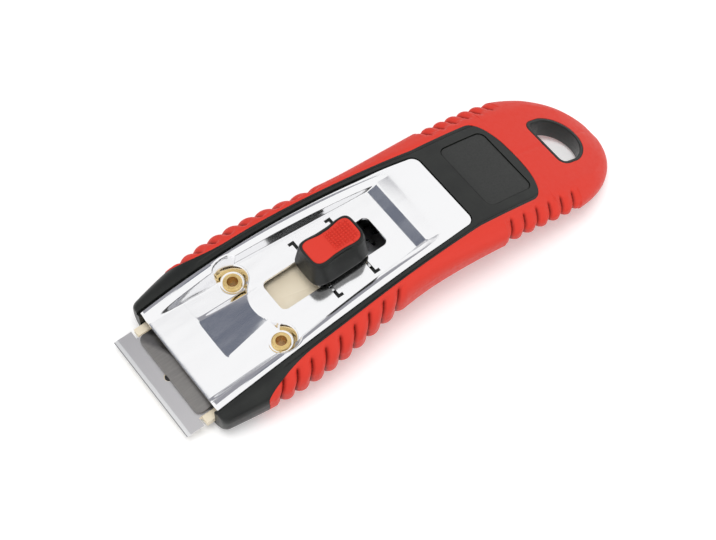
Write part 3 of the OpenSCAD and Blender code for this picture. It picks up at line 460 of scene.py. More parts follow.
def named_field(tree, name, kind="FLOAT"):
    node = tree.nodes.new("GeometryNodeInputNamedAttribute")
    node.data_type = kind
    node.inputs["Name"].default_value = name
    return node.outputs["Attribute"]


def new_tree(name, numbers):
    """A geometry tree with a geometry input, named number inputs and a finish."""
    tree = bpy.data.node_groups.new(name, "GeometryNodeTree")
    tree.interface.new_socket("Geometry", in_out="INPUT", socket_type="NodeSocketGeometry")
    for label, value in numbers.items():
        kind = "NodeSocketInt" if isinstance(value, int) else "NodeSocketFloat"
        tree.interface.new_socket(label, in_out="INPUT", socket_type=kind).default_value = value
    tree.interface.new_socket("Finish", in_out="INPUT", socket_type="NodeSocketMaterial")
    tree.interface.new_socket("Geometry", in_out="OUTPUT", socket_type="NodeSocketGeometry")
    return tree, tree.nodes.new("NodeGroupInput"), tree.nodes.new("NodeGroupOutput")


def finish_tree(tree, geometry, source, output):
    """Ends a tree in Realize Instances and Set Material."""
    realize = tree.nodes.new("GeometryNodeRealizeInstances")
    paint = tree.nodes.new("GeometryNodeSetMaterial")
    tree.links.new(geometry, realize.inputs[0])
    tree.links.new(realize.outputs[0], paint.inputs["Geometry"])
    tree.links.new(source.outputs["Finish"], paint.inputs["Material"])
    tree.links.new(paint.outputs[0], output.inputs[0])


def run_tree(obj, tree, values):
    """Adds the tree as a modifier and sets its inputs by the sockets' identifiers."""
    modifier = obj.modifiers.new(tree.name, "NODES")
    modifier.node_group = tree
    for item in tree.interface.items_tree:
        if item.item_type == "SOCKET" and item.in_out == "INPUT" and item.name in values:
            modifier[item.identifier] = values[item.name]
    return modifier


# %% The rib tree
rib_tree, source, output = new_tree("moulded_ribs", {
    "First valley": 19.3, "Spacing": 5.1, "Growth": 0.16, "Count": 9, "Depth": 1.9, "Shelf": 0.0})
sizes = source.outputs


def rib_math(operation, *inputs):
    return math_node(rib_tree, operation, *inputs)


along, girth_field = named_field(rib_tree, "along"), named_field(rib_tree, "girth")
ahead = rib_math("SUBTRACT", along, sizes["First valley"])
square = rib_math("MULTIPLY", sizes["Spacing"], sizes["Spacing"])
growth = rib_math("MULTIPLY", rib_math("MULTIPLY", sizes["Growth"], 2.0), ahead)
root = rib_math("SQRT", rib_math("MAXIMUM", rib_math("ADD", square, growth), 0.0))
index = rib_math("DIVIDE", rib_math("MULTIPLY", ahead, 2.0), rib_math("ADD", sizes["Spacing"], root))
lobe = rib_math("ABSOLUTE", rib_math("SINE", rib_math("MULTIPLY", index, math.pi)))
valley = rib_math("SUBTRACT", 1.0, rib_math("POWER", lobe, 0.62))
after_first = rib_math("GREATER_THAN", index, -0.5)
before_last = rib_math("LESS_THAN", index, rib_math("SUBTRACT", sizes["Count"], 0.5))
inside = rib_math("MULTIPLY", after_first, before_last)
below_rim = step_node(rib_tree, girth_field, 14.0, 34.0)
above_belly = step_node(rib_tree, girth_field, 156.0, 118.0)
window = rib_math("MULTIPLY", below_rim, above_belly)
brow = rib_math("SUBTRACT", 46.0, rib_math("MULTIPLY", rib_math("POWER", lobe, 0.7), 22.0))
below_brow = step_node(rib_tree, rib_math("SUBTRACT", girth_field, brow), -3.0, 4.0)
shelf = rib_math("MULTIPLY", rib_math("MULTIPLY", sizes["Shelf"], below_brow), above_belly)
pressed_in = rib_math("MULTIPLY", rib_math("MULTIPLY", valley, window), sizes["Depth"])
depth = rib_math("MULTIPLY", rib_math("MULTIPLY", rib_math("ADD", shelf, pressed_in), inside), -0.001)
move = rib_tree.nodes.new("ShaderNodeVectorMath")
move.operation = "SCALE"
rib_tree.links.new(named_field(rib_tree, "outward", "FLOAT_VECTOR"), move.inputs[0])
rib_tree.links.new(depth, move.inputs["Scale"])
# The tree also stores where the valleys lie, so that the red's finish can paint shade into them.
valley_shade_store = rib_tree.nodes.new("GeometryNodeStoreNamedAttribute")
valley_shade_store.data_type, valley_shade_store.domain = "FLOAT", "POINT"
valley_shade_store.inputs["Name"].default_value = "valley"
valley_shade = rib_math("POWER", rib_math("MULTIPLY", rib_math("MULTIPLY", valley, window), inside), 1.6)
valley_shade = rib_math("MAXIMUM", named_field(rib_tree, "valley"), valley_shade)
rib_tree.links.new(valley_shade, valley_shade_store.inputs["Value"])
rib_tree.links.new(source.outputs["Geometry"], valley_shade_store.inputs["Geometry"])
place = rib_tree.nodes.new("GeometryNodeSetPosition")
rib_tree.links.new(valley_shade_store.outputs["Geometry"], place.inputs["Geometry"])
rib_tree.links.new(move.outputs[0], place.inputs["Offset"])
finish_tree(rib_tree, place.outputs[0], source, output)
print("rib tree:", len(rib_tree.nodes), "nodes")

# %% [markdown]
# ## Finishes
#
# Every finish is a small node tree on Object coordinates, which are real metres here, so grain and
# scratches keep their true size. Values that are the same all over sit on the shader's own socket;
# only what varies over the surface is linked.

# %% Building blocks of a finish
def new_finish(name, color, roughness, **sockets):
    finish = bpy.data.materials.new(name)
    finish.use_nodes = True
    shader = finish.node_tree.nodes["Principled BSDF"]
    shader.inputs["Base Color"].default_value = (*color, 1)
    shader.inputs["Roughness"].default_value = roughness
    for socket, value in sockets.items():
        shader.inputs[socket.replace("_", " ")].default_value = value
    return finish


def grain(finish, scale, detail=3.0, stretch=(1, 1, 1)):
    """Noise on Object coordinates; scale is in features per metre."""
    tree = finish.node_tree
    place = tree.nodes.new("ShaderNodeTexCoord")
    mapping = tree.nodes.new("ShaderNodeMapping")
    mapping.inputs["Scale"].default_value = stretch
    noise = tree.nodes.new("ShaderNodeTexNoise")
    noise.inputs["Scale"].default_value = scale
    noise.inputs["Detail"].default_value = detail
    tree.links.new(place.outputs["Object"], mapping.inputs["Vector"])
    tree.links.new(mapping.outputs[0], noise.inputs["Vector"])
    return noise.outputs["Fac"]


def ramped(finish, value, low, high, start=0.35, end=0.65):
    """Maps a noise value to a range of numbers."""
    node = finish.node_tree.nodes.new("ShaderNodeMapRange")
    for socket, number in (("From Min", start), ("From Max", end), ("To Min", low), ("To Max", high)):
        node.inputs[socket].default_value = number
    finish.node_tree.links.new(value, node.inputs["Value"])
    return node.outputs[0]


def varied_color(finish, value, first, second):
    mixer = finish.node_tree.nodes.new("ShaderNodeMix")
    mixer.data_type = "RGBA"
    mixer.inputs["A"].default_value = (*first, 1)
    mixer.inputs["B"].default_value = (*second, 1)
    finish.node_tree.links.new(value, mixer.inputs["Factor"])
    shader = finish.node_tree.nodes["Principled BSDF"]
    finish.node_tree.links.new(mixer.outputs["Result"], shader.inputs["Base Color"])


def bumped(finish, value, depth_mm, strength=1.0):
    bump = finish.node_tree.nodes.new("ShaderNodeBump")
    bump.inputs["Distance"].default_value = depth_mm / 1000
    bump.inputs["Strength"].default_value = strength
    finish.node_tree.links.new(value, bump.inputs["Height"])
    shader = finish.node_tree.nodes["Principled BSDF"]
    finish.node_tree.links.new(bump.outputs[0], shader.inputs["Normal"])


def rough_by(finish, value, low, high):
    shader = finish.node_tree.nodes["Principled BSDF"]
    finish.node_tree.links.new(ramped(finish, value, low, high), shader.inputs["Roughness"])


# %% [markdown]
# The plastics are moulded. The hard black and the soft red have a fine spark-eroded grain, and the red
# is darkened with painted shade in the valleys of its ribs: the rib tree wrote down where they are.
# Cream and label plastic differ in colour and in how coarse their grain is.

# %% Plastics
soft_red = new_finish("soft_red", (0.70, 0.047, 0.030), 0.55, Specular_IOR_Level=0.25)
# Painted shade: the red turns almost black in its rib valleys, where the rib tree stored them.
valley_shade_reader = soft_red.node_tree.nodes.new("ShaderNodeAttribute")
valley_shade_reader.attribute_name = "valley"
varied_color(soft_red, ramped(soft_red, valley_shade_reader.outputs["Fac"], 0, 1, 0.15, 0.8),
             (0.70, 0.047, 0.030), (0.16, 0.010, 0.008))
rough_by(soft_red, grain(soft_red, 700, 2), 0.42, 0.54)
bumped(soft_red, grain(soft_red, 2600, 2), 0.02, 0.6)

hard_black = new_finish("hard_black", (0.016, 0.017, 0.016), 0.42, Specular_IOR_Level=0.3)
varied_color(hard_black, ramped(hard_black, grain(hard_black, 120, 2), 0, 1),
             (0.018, 0.0195, 0.018), (0.013, 0.014, 0.0135))
rough_by(hard_black, grain(hard_black, 900, 2), 0.32, 0.42)
bumped(hard_black, grain(hard_black, 3200, 2), 0.02, 0.6)

label_black = new_finish("label_black", (0.024, 0.025, 0.024), 0.45, Specular_IOR_Level=0.35)
rough_by(label_black, grain(label_black, 1500, 2), 0.42, 0.58)
bumped(label_black, grain(label_black, 4200, 2), 0.025, 0.7)

cream = new_finish("cream_plastic", (0.93, 0.83, 0.65), 0.45)
varied_color(cream, ramped(cream, grain(cream, 160, 3), 0, 1),
             (0.94, 0.84, 0.66), (0.91, 0.80, 0.61))
rough_by(cream, grain(cream, 1200, 2), 0.38, 0.52)
bumped(cream, grain(cream, 2800, 2), 0.015, 0.5)
print("plastics:", soft_red.name, hard_black.name, label_black.name, cream.name)

# %% [markdown]
# The metals differ by how they were worked. The cover is polished and plated, so it has no bump at all
# and only its gloss wavers; the blade is ground flat, with a bright honed strip that ends in a line of
# painted shadow at its edge; the clamp plate is dull and brushed; brass, zinc and spring steel are plain
# stock.

# %% A blade's honed strip and painted edge shadow
def honed_strip_and_edge_shadow(finish, start, plain, honed, edge, dark):
    """Colours a finish by the place along the slide: plain, honed beyond start, and a painted shadow
    line at the edge.
    """
    tree = finish.node_tree
    place = tree.nodes.new("ShaderNodeTexCoord")
    along = tree.nodes.new("ShaderNodeVectorMath")
    along.operation = "DOT_PRODUCT"
    along.inputs[1].default_value = (1000 * COS, 0, 1000 * SIN)
    tree.links.new(place.outputs["Object"], along.inputs[0])
    shift = SHIFT_X * COS + SHIFT_Z * SIN
    is_honed, in_edge_shadow = (
        step_node(tree, along.outputs["Value"], shift + place_x + blur, shift + place_x - blur)
        for place_x, blur in ((start, 0.08), (edge, 0.1)))
    first, second = tree.nodes.new("ShaderNodeMix"), tree.nodes.new("ShaderNodeMix")
    first.data_type = second.data_type = "RGBA"
    first.inputs["A"].default_value, first.inputs["B"].default_value = (*plain, 1), (*honed, 1)
    second.inputs["B"].default_value = (*dark, 1)
    tree.links.new(is_honed, first.inputs["Factor"])
    tree.links.new(first.outputs["Result"], second.inputs["A"])
    tree.links.new(in_edge_shadow, second.inputs["Factor"])
    tree.links.new(second.outputs["Result"], tree.nodes["Principled BSDF"].inputs["Base Color"])


# %% Metals
bright_steel = new_finish("bright_plated_steel", (0.93, 0.93, 0.94), 0.06, Metallic=1.0)
rough_by(bright_steel, grain(bright_steel, 60, 4, (1, 6, 1)), 0.09, 0.13)

blade_steel = new_finish("ground_blade_steel", (0.72, 0.705, 0.71), 0.32, Metallic=1.0)
rough_by(blade_steel, grain(blade_steel, 1500, 3, (6, 0.3, 1)), 0.30, 0.36)
HONED_X, BLADE_EDGE_X = -8.6, -9.75
# The last colour is a painted shadow along the blade's edge.
honed_strip_and_edge_shadow(blade_steel, HONED_X, (0.72, 0.705, 0.71), (0.97, 0.97, 0.97),
            BLADE_EDGE_X, (0.30, 0.29, 0.30))

clamp_steel = new_finish("brushed_clamp_steel", (0.30, 0.28, 0.275), 0.42, Metallic=1.0)
varied_color(clamp_steel, ramped(clamp_steel, grain(clamp_steel, 500, 4, (0.3, 4, 1)), 0, 1),
             (0.27, 0.26, 0.25), (0.24, 0.23, 0.225))
rough_by(clamp_steel, grain(clamp_steel, 900, 3), 0.28, 0.36)
bumped(clamp_steel, grain(clamp_steel, 2200, 3, (0.3, 4, 1)), 0.002, 0.4)

brass = new_finish("eyelet_brass", (0.80, 0.58, 0.24), 0.22, Metallic=1.0)
varied_color(brass, ramped(brass, grain(brass, 350, 3), 0, 1),
             (0.83, 0.62, 0.28), (0.74, 0.52, 0.21))
rough_by(brass, grain(brass, 800, 3), 0.16, 0.30)
bumped(brass, grain(brass, 1800, 2), 0.004, 0.4)

zinc_steel = new_finish("zinc_plated_steel", (0.62, 0.63, 0.66), 0.32, Metallic=1.0)
rough_by(zinc_steel, grain(zinc_steel, 500, 4), 0.24, 0.42)
bumped(zinc_steel, grain(zinc_steel, 1500, 3), 0.006, 0.5)

spring_steel = new_finish("spring_steel", (0.72, 0.72, 0.73), 0.2, Metallic=1.0)
rough_by(spring_steel, grain(spring_steel, 900, 3, (0.3, 4, 1)), 0.14, 0.28)
bumped(spring_steel, grain(spring_steel, 2000, 2, (0.3, 4, 1)), 0.003, 0.4)

# The pin is near black, which darkens the half-moon of the blade's hole.
dark_pin = new_finish("near_black_pin", (0.05, 0.05, 0.052), 0.4, Metallic=0.6)
rough_by(dark_pin, grain(dark_pin, 1200, 2), 0.32, 0.5)
bumped(dark_pin, grain(dark_pin, 2200, 2), 0.004, 0.4)
print("metals:", len([m for m in bpy.data.materials if m.use_nodes]), "finishes in all")


def painted(obj, finish):
    obj.data.materials.clear()
    obj.data.materials.append(finish)


# %% [markdown]
# Now the ribs are pressed in, and the hanging hole, the pocket for the core's tongue and the two
# openings under the eyelets are cut.

# %% Press the ribs
run_tree(soft_grip, rib_tree, {"Finish": soft_red})
run_tree(soft_grip, rib_tree, {"First valley": 112.0, "Spacing": 5.35, "Growth": 0.0, "Count": 6,
                               "Shelf": 0.3, "Finish": soft_red})
baked(soft_grip, 48)
print("ribbed grip:", len(soft_grip.data.polygons), "faces")

# %% The hanging hole and the tail's own frame
TAIL_TILT = math.asin((HANG_X - ARCH_X) / ARCH_R)
HANG_R, HANG_LEN, HANG_CORNER_R, LINING_T, LINING_RISE = 9.6, 12.8, 2.0, 1.3, 0.2
TONGUE_HALF_T, HOLE_SIDE_SHARE = 1.7, 0.97


def in_tail(points):
    """From the tail's frame, x down along the tail and z square to it, to the slide frame."""
    p = np.asarray(points, float)
    c, s = math.cos(TAIL_TILT), math.sin(TAIL_TILT)
    x = p[..., 0] * c + p[..., 2] * s + HANG_X
    z = -p[..., 0] * s + p[..., 2] * c + float(top_line(HANG_X)) - TAIL_T / 2
    return np.stack([x, p[..., 1], z], axis=-1)


def half_moon(grow, steps=120):
    """The hole from above, moved out by grow: a disc cut off by a straight side, with round corners.
    Each point is found by halving along its own ray from the middle."""
    x0, x1 = HANG_X - grow, HANG_X + HANG_LEN + grow
    side, corner = HOLE_SIDE_SHARE * HANG_R + grow, HANG_CORNER_R + grow
    turn = 2 * np.pi * np.arange(steps) / steps
    near, far = np.zeros(steps), np.full(steps, 2 * HANG_R)
    for _ in range(40):
        reach = (near + far) / 2
        x, y = (x0 + x1) / 2 + reach * np.cos(turn), reach * np.sin(turn)
        from_box = np.hypot(x - np.clip(x, x0 + corner, x1 - corner),
                            y - np.clip(y, corner - side, side - corner))
        inside = (from_box < corner) & (np.hypot(x - x1 + grow + HANG_R, y) < HANG_R + grow)
        near, far = np.where(inside, reach, near), np.where(inside, far, reach)
    return np.column_stack([(x0 + x1) / 2 + near * np.cos(turn), near * np.sin(turn)])


def moon_prism(name, grow):
    return prism(name, half_moon(grow), -80, 30)


def tail_tongue(name, grow):
    end = (HANG_LEN + 2 * LINING_T) / math.cos(TAIL_TILT) + grow
    half = HANG_R + 2 * LINING_T + grow
    outline = round_outline(-2 * (HANG_R + LINING_T), end, -half, half, HANG_R / 2)
    rings = [[(x, y, z) for x, y in outline] for z in (-TONGUE_HALF_T - grow, TONGUE_HALF_T + grow)]
    return ring_skin(name, in_tail(rings))


# %% Cut the grip's openings
CAVITY_FLOOR, WASHER_WELL_R = -9.3, 4.6
openings = [moon_prism("hole_cut", LINING_T - 0.02), tail_tongue("tongue_cut", 0.0)]
for side in (1, -1):
    outline = disc_outline(EYELET_X, side * EYELET_Y, WASHER_WELL_R)
    openings.append(prism("washer_cut", outline, -40, CAVITY_FLOOR))
combined(soft_grip, openings, sharp_deg=48)
rest_on_table(soft_grip)
painted(soft_grip, soft_red)
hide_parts("grip")
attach(soft_grip, "handle")
print("soft grip:", len(soft_grip.data.polygons), "faces")

# %% [markdown]
# ## The pressed cover
#
# The cover is one polished sheet, pressed down over a forming tool: an apron in front, round bays
# for the eyelets, a ramp between them, a level plateau and a short slope behind. Polished metal
# shows nothing but its own bends, so these are blended with smooth minima and maxima, and the
# grid's lines follow the bends.

# %% The cover's surface
def smooth_min(a, b, k):
    h = np.clip(k - np.abs(a - b), 0, None) / k
    return np.minimum(a, b) - h * h * k / 4


def smooth_max(a, b, k):
    return -smooth_min(-a, -b, k)


BAY_Z, RAMP_X, RAMP_LEN, PLATEAU_X, PLATEAU_END = -2.6, 13.4, 15.6, 29.0, 82.0
REAR_R, RIM_ROUND = 3.4, 0.55
REAR_X = COVER_END - REAR_R


def apron_level(x):
    return -1.2 - 1.4 * (np.clip(x, COVER_X - 1, PLATEAU_X) - COVER_X) / (PLATEAU_X - COVER_X)


def crest_half(x):
    return np.interp(x, [0.9, 10, 25, 33, 86], [17.3, 17.35, 17.5, 17.6, 13.3])


def wall_run(x):
    return np.interp(x, [0.9, 22, 28, 34, 80, 86], [1.2, 2.2, 2.1, 0.8, 0.8, 1.2])


def outline_half(x):
    """Half the cover's width, with its rear corners."""
    last = cover_half(REAR_X)
    over_corner = np.clip(x - REAR_X, 0, REAR_R)
    return np.where(x < REAR_X, cover_half(x), last - REAR_R + np.sqrt(REAR_R ** 2 - over_corner ** 2))


def edge_distance(x, y):
    corner_y = cover_half(REAR_X) - REAR_R
    in_corner = (x > REAR_X) & (y > corner_y)
    plain = np.minimum(cover_half(np.minimum(x, REAR_X)) - y, COVER_END - x)
    return np.where(in_corner, REAR_R - np.hypot(x - REAR_X, y - corner_y), plain)


def pressed(x, y):
    """Height of the cover's top face before its outer edge is rolled."""
    y = np.abs(y)
    apron = apron_level(x)
    arc = 28.6 + 2.0 * (np.clip(y, 0, 8.4) / 6) ** 2
    foot = float(apron_level(RAMP_X))
    ramp = foot * (1 - (x - RAMP_X) / (arc - RAMP_X))
    ramp_half = 7.8 - 1.9 * (x - RAMP_X) / RAMP_LEN
    ramp_side = ramp - (y - ramp_half) / np.maximum(8.5 - ramp_half, 0.3) * (ramp - apron)
    front = apron + (x - arc + 0.9) / 0.9 * (0 - apron)
    floor = smooth_max(np.minimum(smooth_min(ramp, ramp_side, 0.12), 0.0), np.minimum(front, 0.0), 0.05)
    floor = smooth_max(apron, floor, 0.12)
    floor = np.where(x > 34, 0.0, floor)
    floor = smooth_max(floor, 0.22 * (x - PLATEAU_END + 0.4), 0.15)
    arch = top_line(x)
    base = np.where(x < PLATEAU_X + 1, apron, 0.0)
    run = wall_run(x)
    wall = base + (y - crest_half(x) + run) / run * (arch - base)
    inside = smooth_max(floor, wall, 0.3)
    from_eyelet = np.hypot(x - EYELET_X, y - EYELET_Y)
    bay = smooth_max(np.full_like(x, BAY_Z), BAY_Z + 2.2 * (from_eyelet - 3.9), 0.6)
    inside = smooth_min(inside, bay, 0.4)
    rim_wide = (cover_half(np.minimum(x, REAR_X)) - crest_half(x)) / 2
    crown = np.clip((y - crest_half(x)) / rim_wide - 1, -1, 1)
    fade = 1 - smooth_step((x - 80) / 12)
    blend = mix(0.45, 0.12, smooth_step((x - 78) / 3))
    return smooth_min(arch - RIM_ROUND * fade * crown ** 2, inside, blend)


def rolled(x, y):
    t = np.clip((1.1 - edge_distance(x, np.abs(y))) / 1.1, 0, 1)
    return 0.7 * (1 - np.sqrt(np.maximum(1 - t * t, 0)))


print("plateau %.2f, apron %.2f, bay %.2f" % tuple(
    float(pressed(np.array([p[0]]), np.array([p[1]]))[0]) for p in ((60, 10), (8, 0), (29.8, 12.8))))

# %% The cover's grid
def grid_columns(x, fine):
    """Places across one row, closer together where the sheet bends."""
    reference = min(x, 88.0)
    crest, run, half = crest_half(reference), wall_run(reference), float(cover_half(reference))
    stops = [0, 5.4, 8.7, crest - run - 0.8, crest + 0.7, half - 1.1]
    counts = [6, 14, 52, 26, 4] if fine else [3, 5, 8, 8, 2]
    parts = [np.linspace(a, b, n, endpoint=False) for a, b, n in zip(stops, stops[1:], counts)]
    roll = np.linspace(0, np.pi / 2, 8 if fine else 4)
    parts.append(half - 1.1 + 1.1 * np.sin(roll))
    columns = np.concatenate(parts) * float(outline_half(np.array([x]))[0]) / half
    return np.concatenate([-columns[:0:-1], columns])


def cover_rows(fine=True):
    step = 1.0 if fine else 2.5
    pieces = [(COVER_X, 12, 0.8), (12, 15, 0.25), (15, 23.6, 0.8), (23.6, 36, 0.14), (36, 80, 1.6),
              (80, 88, 0.22), (88, REAR_X - 1, 1.2)]
    xs = np.concatenate([np.arange(a, b - 1e-6, s * step) for a, b, s in pieces])
    turn = np.linspace(0, np.pi / 2, 16 if fine else 8)
    return np.concatenate([xs, [REAR_X - 0.5], REAR_X + REAR_R * np.sin(turn)])


def cover_grid(xs, fine=True):
    ys = np.array([grid_columns(x, fine) for x in xs])
    return np.repeat(xs[:, None], ys.shape[1], axis=1), ys


grid_x, grid_y = cover_grid(cover_rows())
sheet_top = pressed(grid_x, grid_y)
top = np.stack([grid_x, grid_y, sheet_top - rolled(grid_x, grid_y)], axis=-1)
under = np.stack([grid_x, grid_y, sheet_top - SHEET_T], axis=-1)
cover = ring_skin("pressed_cover", np.concatenate([top, under[:, ::-1]], axis=1), 80)
print("cover grid:", grid_x.shape, "faces:", len(cover.data.polygons))

# %% [markdown]
# The slot, the four lock slits and the eyelets' holes are punched through the sheet.

# %% Punch the cover
SLOT_X, SLOT_LEN, SLOT_W, SLOT_R = 35.8, 40.5, 12.0, 2.0
SLIT_X, SLIT_PITCH, SLIT_W, SLIT_SPAN, SLIT_FOOT = 52.3, 14.1, 1.1, 24.8, 2.3
slot = round_outline(SLOT_X, SLOT_X + SLOT_LEN, -SLOT_W / 2, SLOT_W / 2, SLOT_R)
punches = [prism("slot_punch", slot, -3, 3)]
for x in (SLIT_X, SLIT_X + SLIT_PITCH):
    for side in (1, -1):
        wide, foot, reach = SLIT_W / 2, SLIT_W / 2 - SLIT_FOOT, SLIT_SPAN / 2
        outline = [(-wide, 7.0), (wide, 7.0), (wide, reach), (foot, reach),
                   (foot, reach - SLIT_W), (-wide, reach - SLIT_W)]
        punches.append(prism("slit_punch", [(x + side * a, side * b) for a, b in outline], -3, 3))
for side in (1, -1):
    punches.append(prism("eyelet_punch", disc_outline(EYELET_X, side * EYELET_Y, 2.35), -6, 1))
combined(cover, punches, sharp_deg=80)
painted(cover, bright_steel)
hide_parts("cover_plate")
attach(cover, "handle")
print("cover:", len(cover.data.polygons), "faces")

# %% [markdown]
# ## The hard core
#
# The core is the same form as the handle, set back where the soft grip covers it, with a rounded
# front edge and a fine groove along its rim. The cover lies in a seat whose floor is the cover's
# own underside, and the slide runs in a stepped cavity below.

# %% Core skin
NOSE_EDGE_R, RIM_GROOVE = 0.6, 0.3


def core_inset(x):
    """Rounding of the nose's front edge."""
    r = NOSE_EDGE_R
    return r - np.sqrt(np.maximum(r ** 2 - np.clip(r - x, 0, r) ** 2, 0))


core_xs = np.concatenate([
    NOSE_EDGE_R * (1 - np.cos(np.linspace(0, np.pi / 2, 6))), np.linspace(0.8, 3, 8),
    np.linspace(3.5, GRIP_X - 0.1, 24), [GRIP_X - 0.05], np.linspace(GRIP_X + 0.05, 36, 40),
    np.linspace(37, TAIL_X - 9, 70),
    np.linspace(TAIL_X - 8.5, TAIL_X - 0.05, 34)])
core_edge = grip_edge(core_xs)[:, None]
rim_share = np.linspace(0, 1, 26)[None, :]
rim_start = np.minimum(-9.0, core_edge - 1.0)
rim_girth = rim_start + (core_edge - rim_start) * rim_share
rim_station = np.repeat(core_xs[:, None], rim_share.shape[1], axis=1)
groove = RIM_GROOVE * np.exp(-(((rim_girth - 2.5) / 1.3) ** 2)) * (core_edge < 20)
rim_part = skin(rim_station, rim_girth, core_inset(rim_station) + groove)
low_girth = core_edge + (180 - core_edge) * np.linspace(0, 1, 44)[None, :] ** 1.1
low_station = np.repeat(core_xs[:, None], 44, axis=1)
low_depth = np.where(low_station > GRIP_X, GRIP_T, core_inset(low_station))
core_side = np.concatenate([rim_part, skin(low_station, low_girth, low_depth)], axis=1)
core = ring_skin("hard_core", both_sides(core_side), 45)
print("core:", len(core.data.polygons), "faces")

# %% The core's tongue and the lining of the hanging hole
def looped_skin(name, loops, sharp_deg=40):
    """A skin closed both along and across, such as a ring with a section."""
    loops = np.asarray(loops)
    n_rows, n_cols = loops.shape[:2]
    closed_faces = row_faces(n_rows, n_cols, True)
    last = (n_rows - 1) * n_cols
    for c in range(n_cols):
        d = (c + 1) % n_cols
        closed_faces.append((last + c, last + d, d, c))
    return new_piece(name, loops.reshape(-1, 3), closed_faces, sharp_deg)


def lining_section(wall, half, radius, steps=5):
    """A wall's section, with grow to the right and height up, and round edges."""
    section = []
    for gx, gz, start in ((wall, half, 0), (0, half, 90), (0, -half, 180), (wall, -half, 270)):
        for i in range(steps + 1):
            a = math.radians(start + 90 * i / steps)
            section.append((gx + (-radius if gx else radius) + radius * math.cos(a),
                            gz + (-radius if gz > 0 else radius) + radius * math.sin(a)))
    return section


lining_loops = []
for grow, height in lining_section(LINING_T, TAIL_T / 2 + LINING_RISE, 0.45):
    outline = half_moon(grow)
    lining_loops.append(np.column_stack([outline, top_line(outline[:, 0]) - TAIL_T / 2 + height]))
lining = looped_skin("lining", lining_loops)
tongue = tail_tongue("tongue", -0.02)
tongue = combined(tongue, [moon_prism("tongue_hole", 0.6)])
combined(core, [tongue, lining], "UNION")
print("core with lining:", len(core.data.polygons), "faces")

# %% Seat and cavity
seat_xs = np.concatenate([[-1.5, 0.0], cover_rows(False)])
seat_x, seat_y = cover_grid(np.clip(seat_xs, COVER_X, None), False)
seat_gap = 0.09
seat_y = seat_y * (1 + seat_gap / np.abs(seat_y).max(axis=1, keepdims=True))
seat_low = pressed(seat_x, seat_y) - SHEET_T - 0.03
seat_x = seat_x + np.minimum(seat_xs - COVER_X, 0)[:, None]
seat_x[-1] += seat_gap
low = np.stack([seat_x, seat_y, seat_low], axis=-1)
high = np.stack([seat_x, seat_y, np.full_like(seat_low, 14.0)], axis=-1)
seat = ring_skin("seat_cut", np.concatenate([high, low[:, ::-1]], axis=1))
combined(core, [seat])
rooms = [
    block("mouth", -2, 25.2, -20, 20, CAVITY_FLOOR, 3.0),
    block("channel", 24.5, 35.2, -7.8, 7.8, CAVITY_FLOOR, 3.0),
    block("rear_room", 34.8, 81.3, -9.9, 9.9, CAVITY_FLOOR, 2.0),
]
for side in (1, -1):
    rooms.append(prism("eyelet_bore", disc_outline(EYELET_X, side * EYELET_Y, 2.6), -40, 1))
    washer_well = disc_outline(EYELET_X, side * EYELET_Y, WASHER_WELL_R)
    rooms.append(prism("washer_bore", washer_well, -40, -10.6))
combined(core, rooms)
print("core cut:", len(core.data.polygons), "faces")

# %% [markdown]
# Behind the cover lies the label plate in its own shallow recess. It is left bare.

# %% Label recess and plate
LABEL_X, LABEL_LEN, LABEL_W, LABEL_R, LABEL_T, LABEL_SINK = 111.5, 18.6, 26.8, 2.6, 1.6, 0.4


def arched_plate(name, grow, sink, thick, edge_round, high=None):
    """A round-cornered plate that follows the arch; a high one is a cutter."""
    rows = []
    x0, x1 = LABEL_X - grow, LABEL_X + LABEL_LEN + grow
    inset_levels = [(0.0, -thick)]
    for i in range(5 if high is None else 1):
        a = math.pi / 2 * i / 4
        inset_levels.append((edge_round * (1 - math.cos(a)), -edge_round * (1 - math.sin(a))))
    for inset, level in inset_levels:
        half = LABEL_W / 2 + grow - inset
        outline = round_outline(x0 + inset, x1 - inset, -half, half, LABEL_R + grow - inset, 6)
        lift = 0 if high is None or level == -thick else high
        rows.append([(x, y, float(top_line(x)) - sink + level + lift) for x, y in dense(outline, 1.2)])
    middle = (x0 + x1) / 2
    for scale in (0.66, 0.5, 0.06) if high is None else ():
        ring = np.array(rows[-1])
        ring[:, 0] = middle + (ring[:, 0] - middle) * scale
        ring[:, 1] *= scale
        ring[:, 2] = top_line(ring[:, 0]) - sink
        rows.append(ring)
    return ring_skin(name, rows, 40)


def dense(outline, longest):
    """Adds points so that no step along a closed outline is longer than this."""
    points = []
    for a, b in zip(outline, outline[1:] + outline[:1]):
        n = max(1, int(math.ceil(math.dist(a, b) / longest)))
        points += [(a[0] + (b[0] - a[0]) * i / n, a[1] + (b[1] - a[1]) * i / n) for i in range(n)]
    return points


combined(core, [arched_plate("label_recess", 0.12, LABEL_SINK, LABEL_T, 0.0, 6.0)])
rest_on_table(core)
painted(core, hard_black)
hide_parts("core")
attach(core, "handle")
label = arched_plate("bare_label", 0.0, LABEL_SINK - 0.12, LABEL_T, 0.35)
painted(label, label_black)
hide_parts("label_plate")
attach(label, "handle")
print("core:", len(core.data.polygons), "faces, label:", len(label.data.polygons))

# %% [markdown]
# ## The knob
#
# The knob is a waisted oblong that a thumb pushes, black and hard outside, with a soft red insert
# let into its hollowed top. The insert's rear half is cross-hatched with small pips.

# %% Knob rings
KNOB_X, KNOB_LOW, KNOB_Z, KNOB_DISH = 58.55, 1.5, 11.5, 1.0
KNOB_LEN, KNOB_W, TOP_LEN, TOP_W, WAIST = 22.0, 14.8, 19.4, 11.8, 1.1
INSERT_EDGE, INSERT_T = 0.8, 1.6
DISH_R = ((TOP_LEN / 2) ** 2 + KNOB_DISH ** 2) / (2 * KNOB_DISH)
KNOB_STEPS = 96
knob_turn = -2 * np.pi * (np.arange(KNOB_STEPS) + 0.5) / KNOB_STEPS


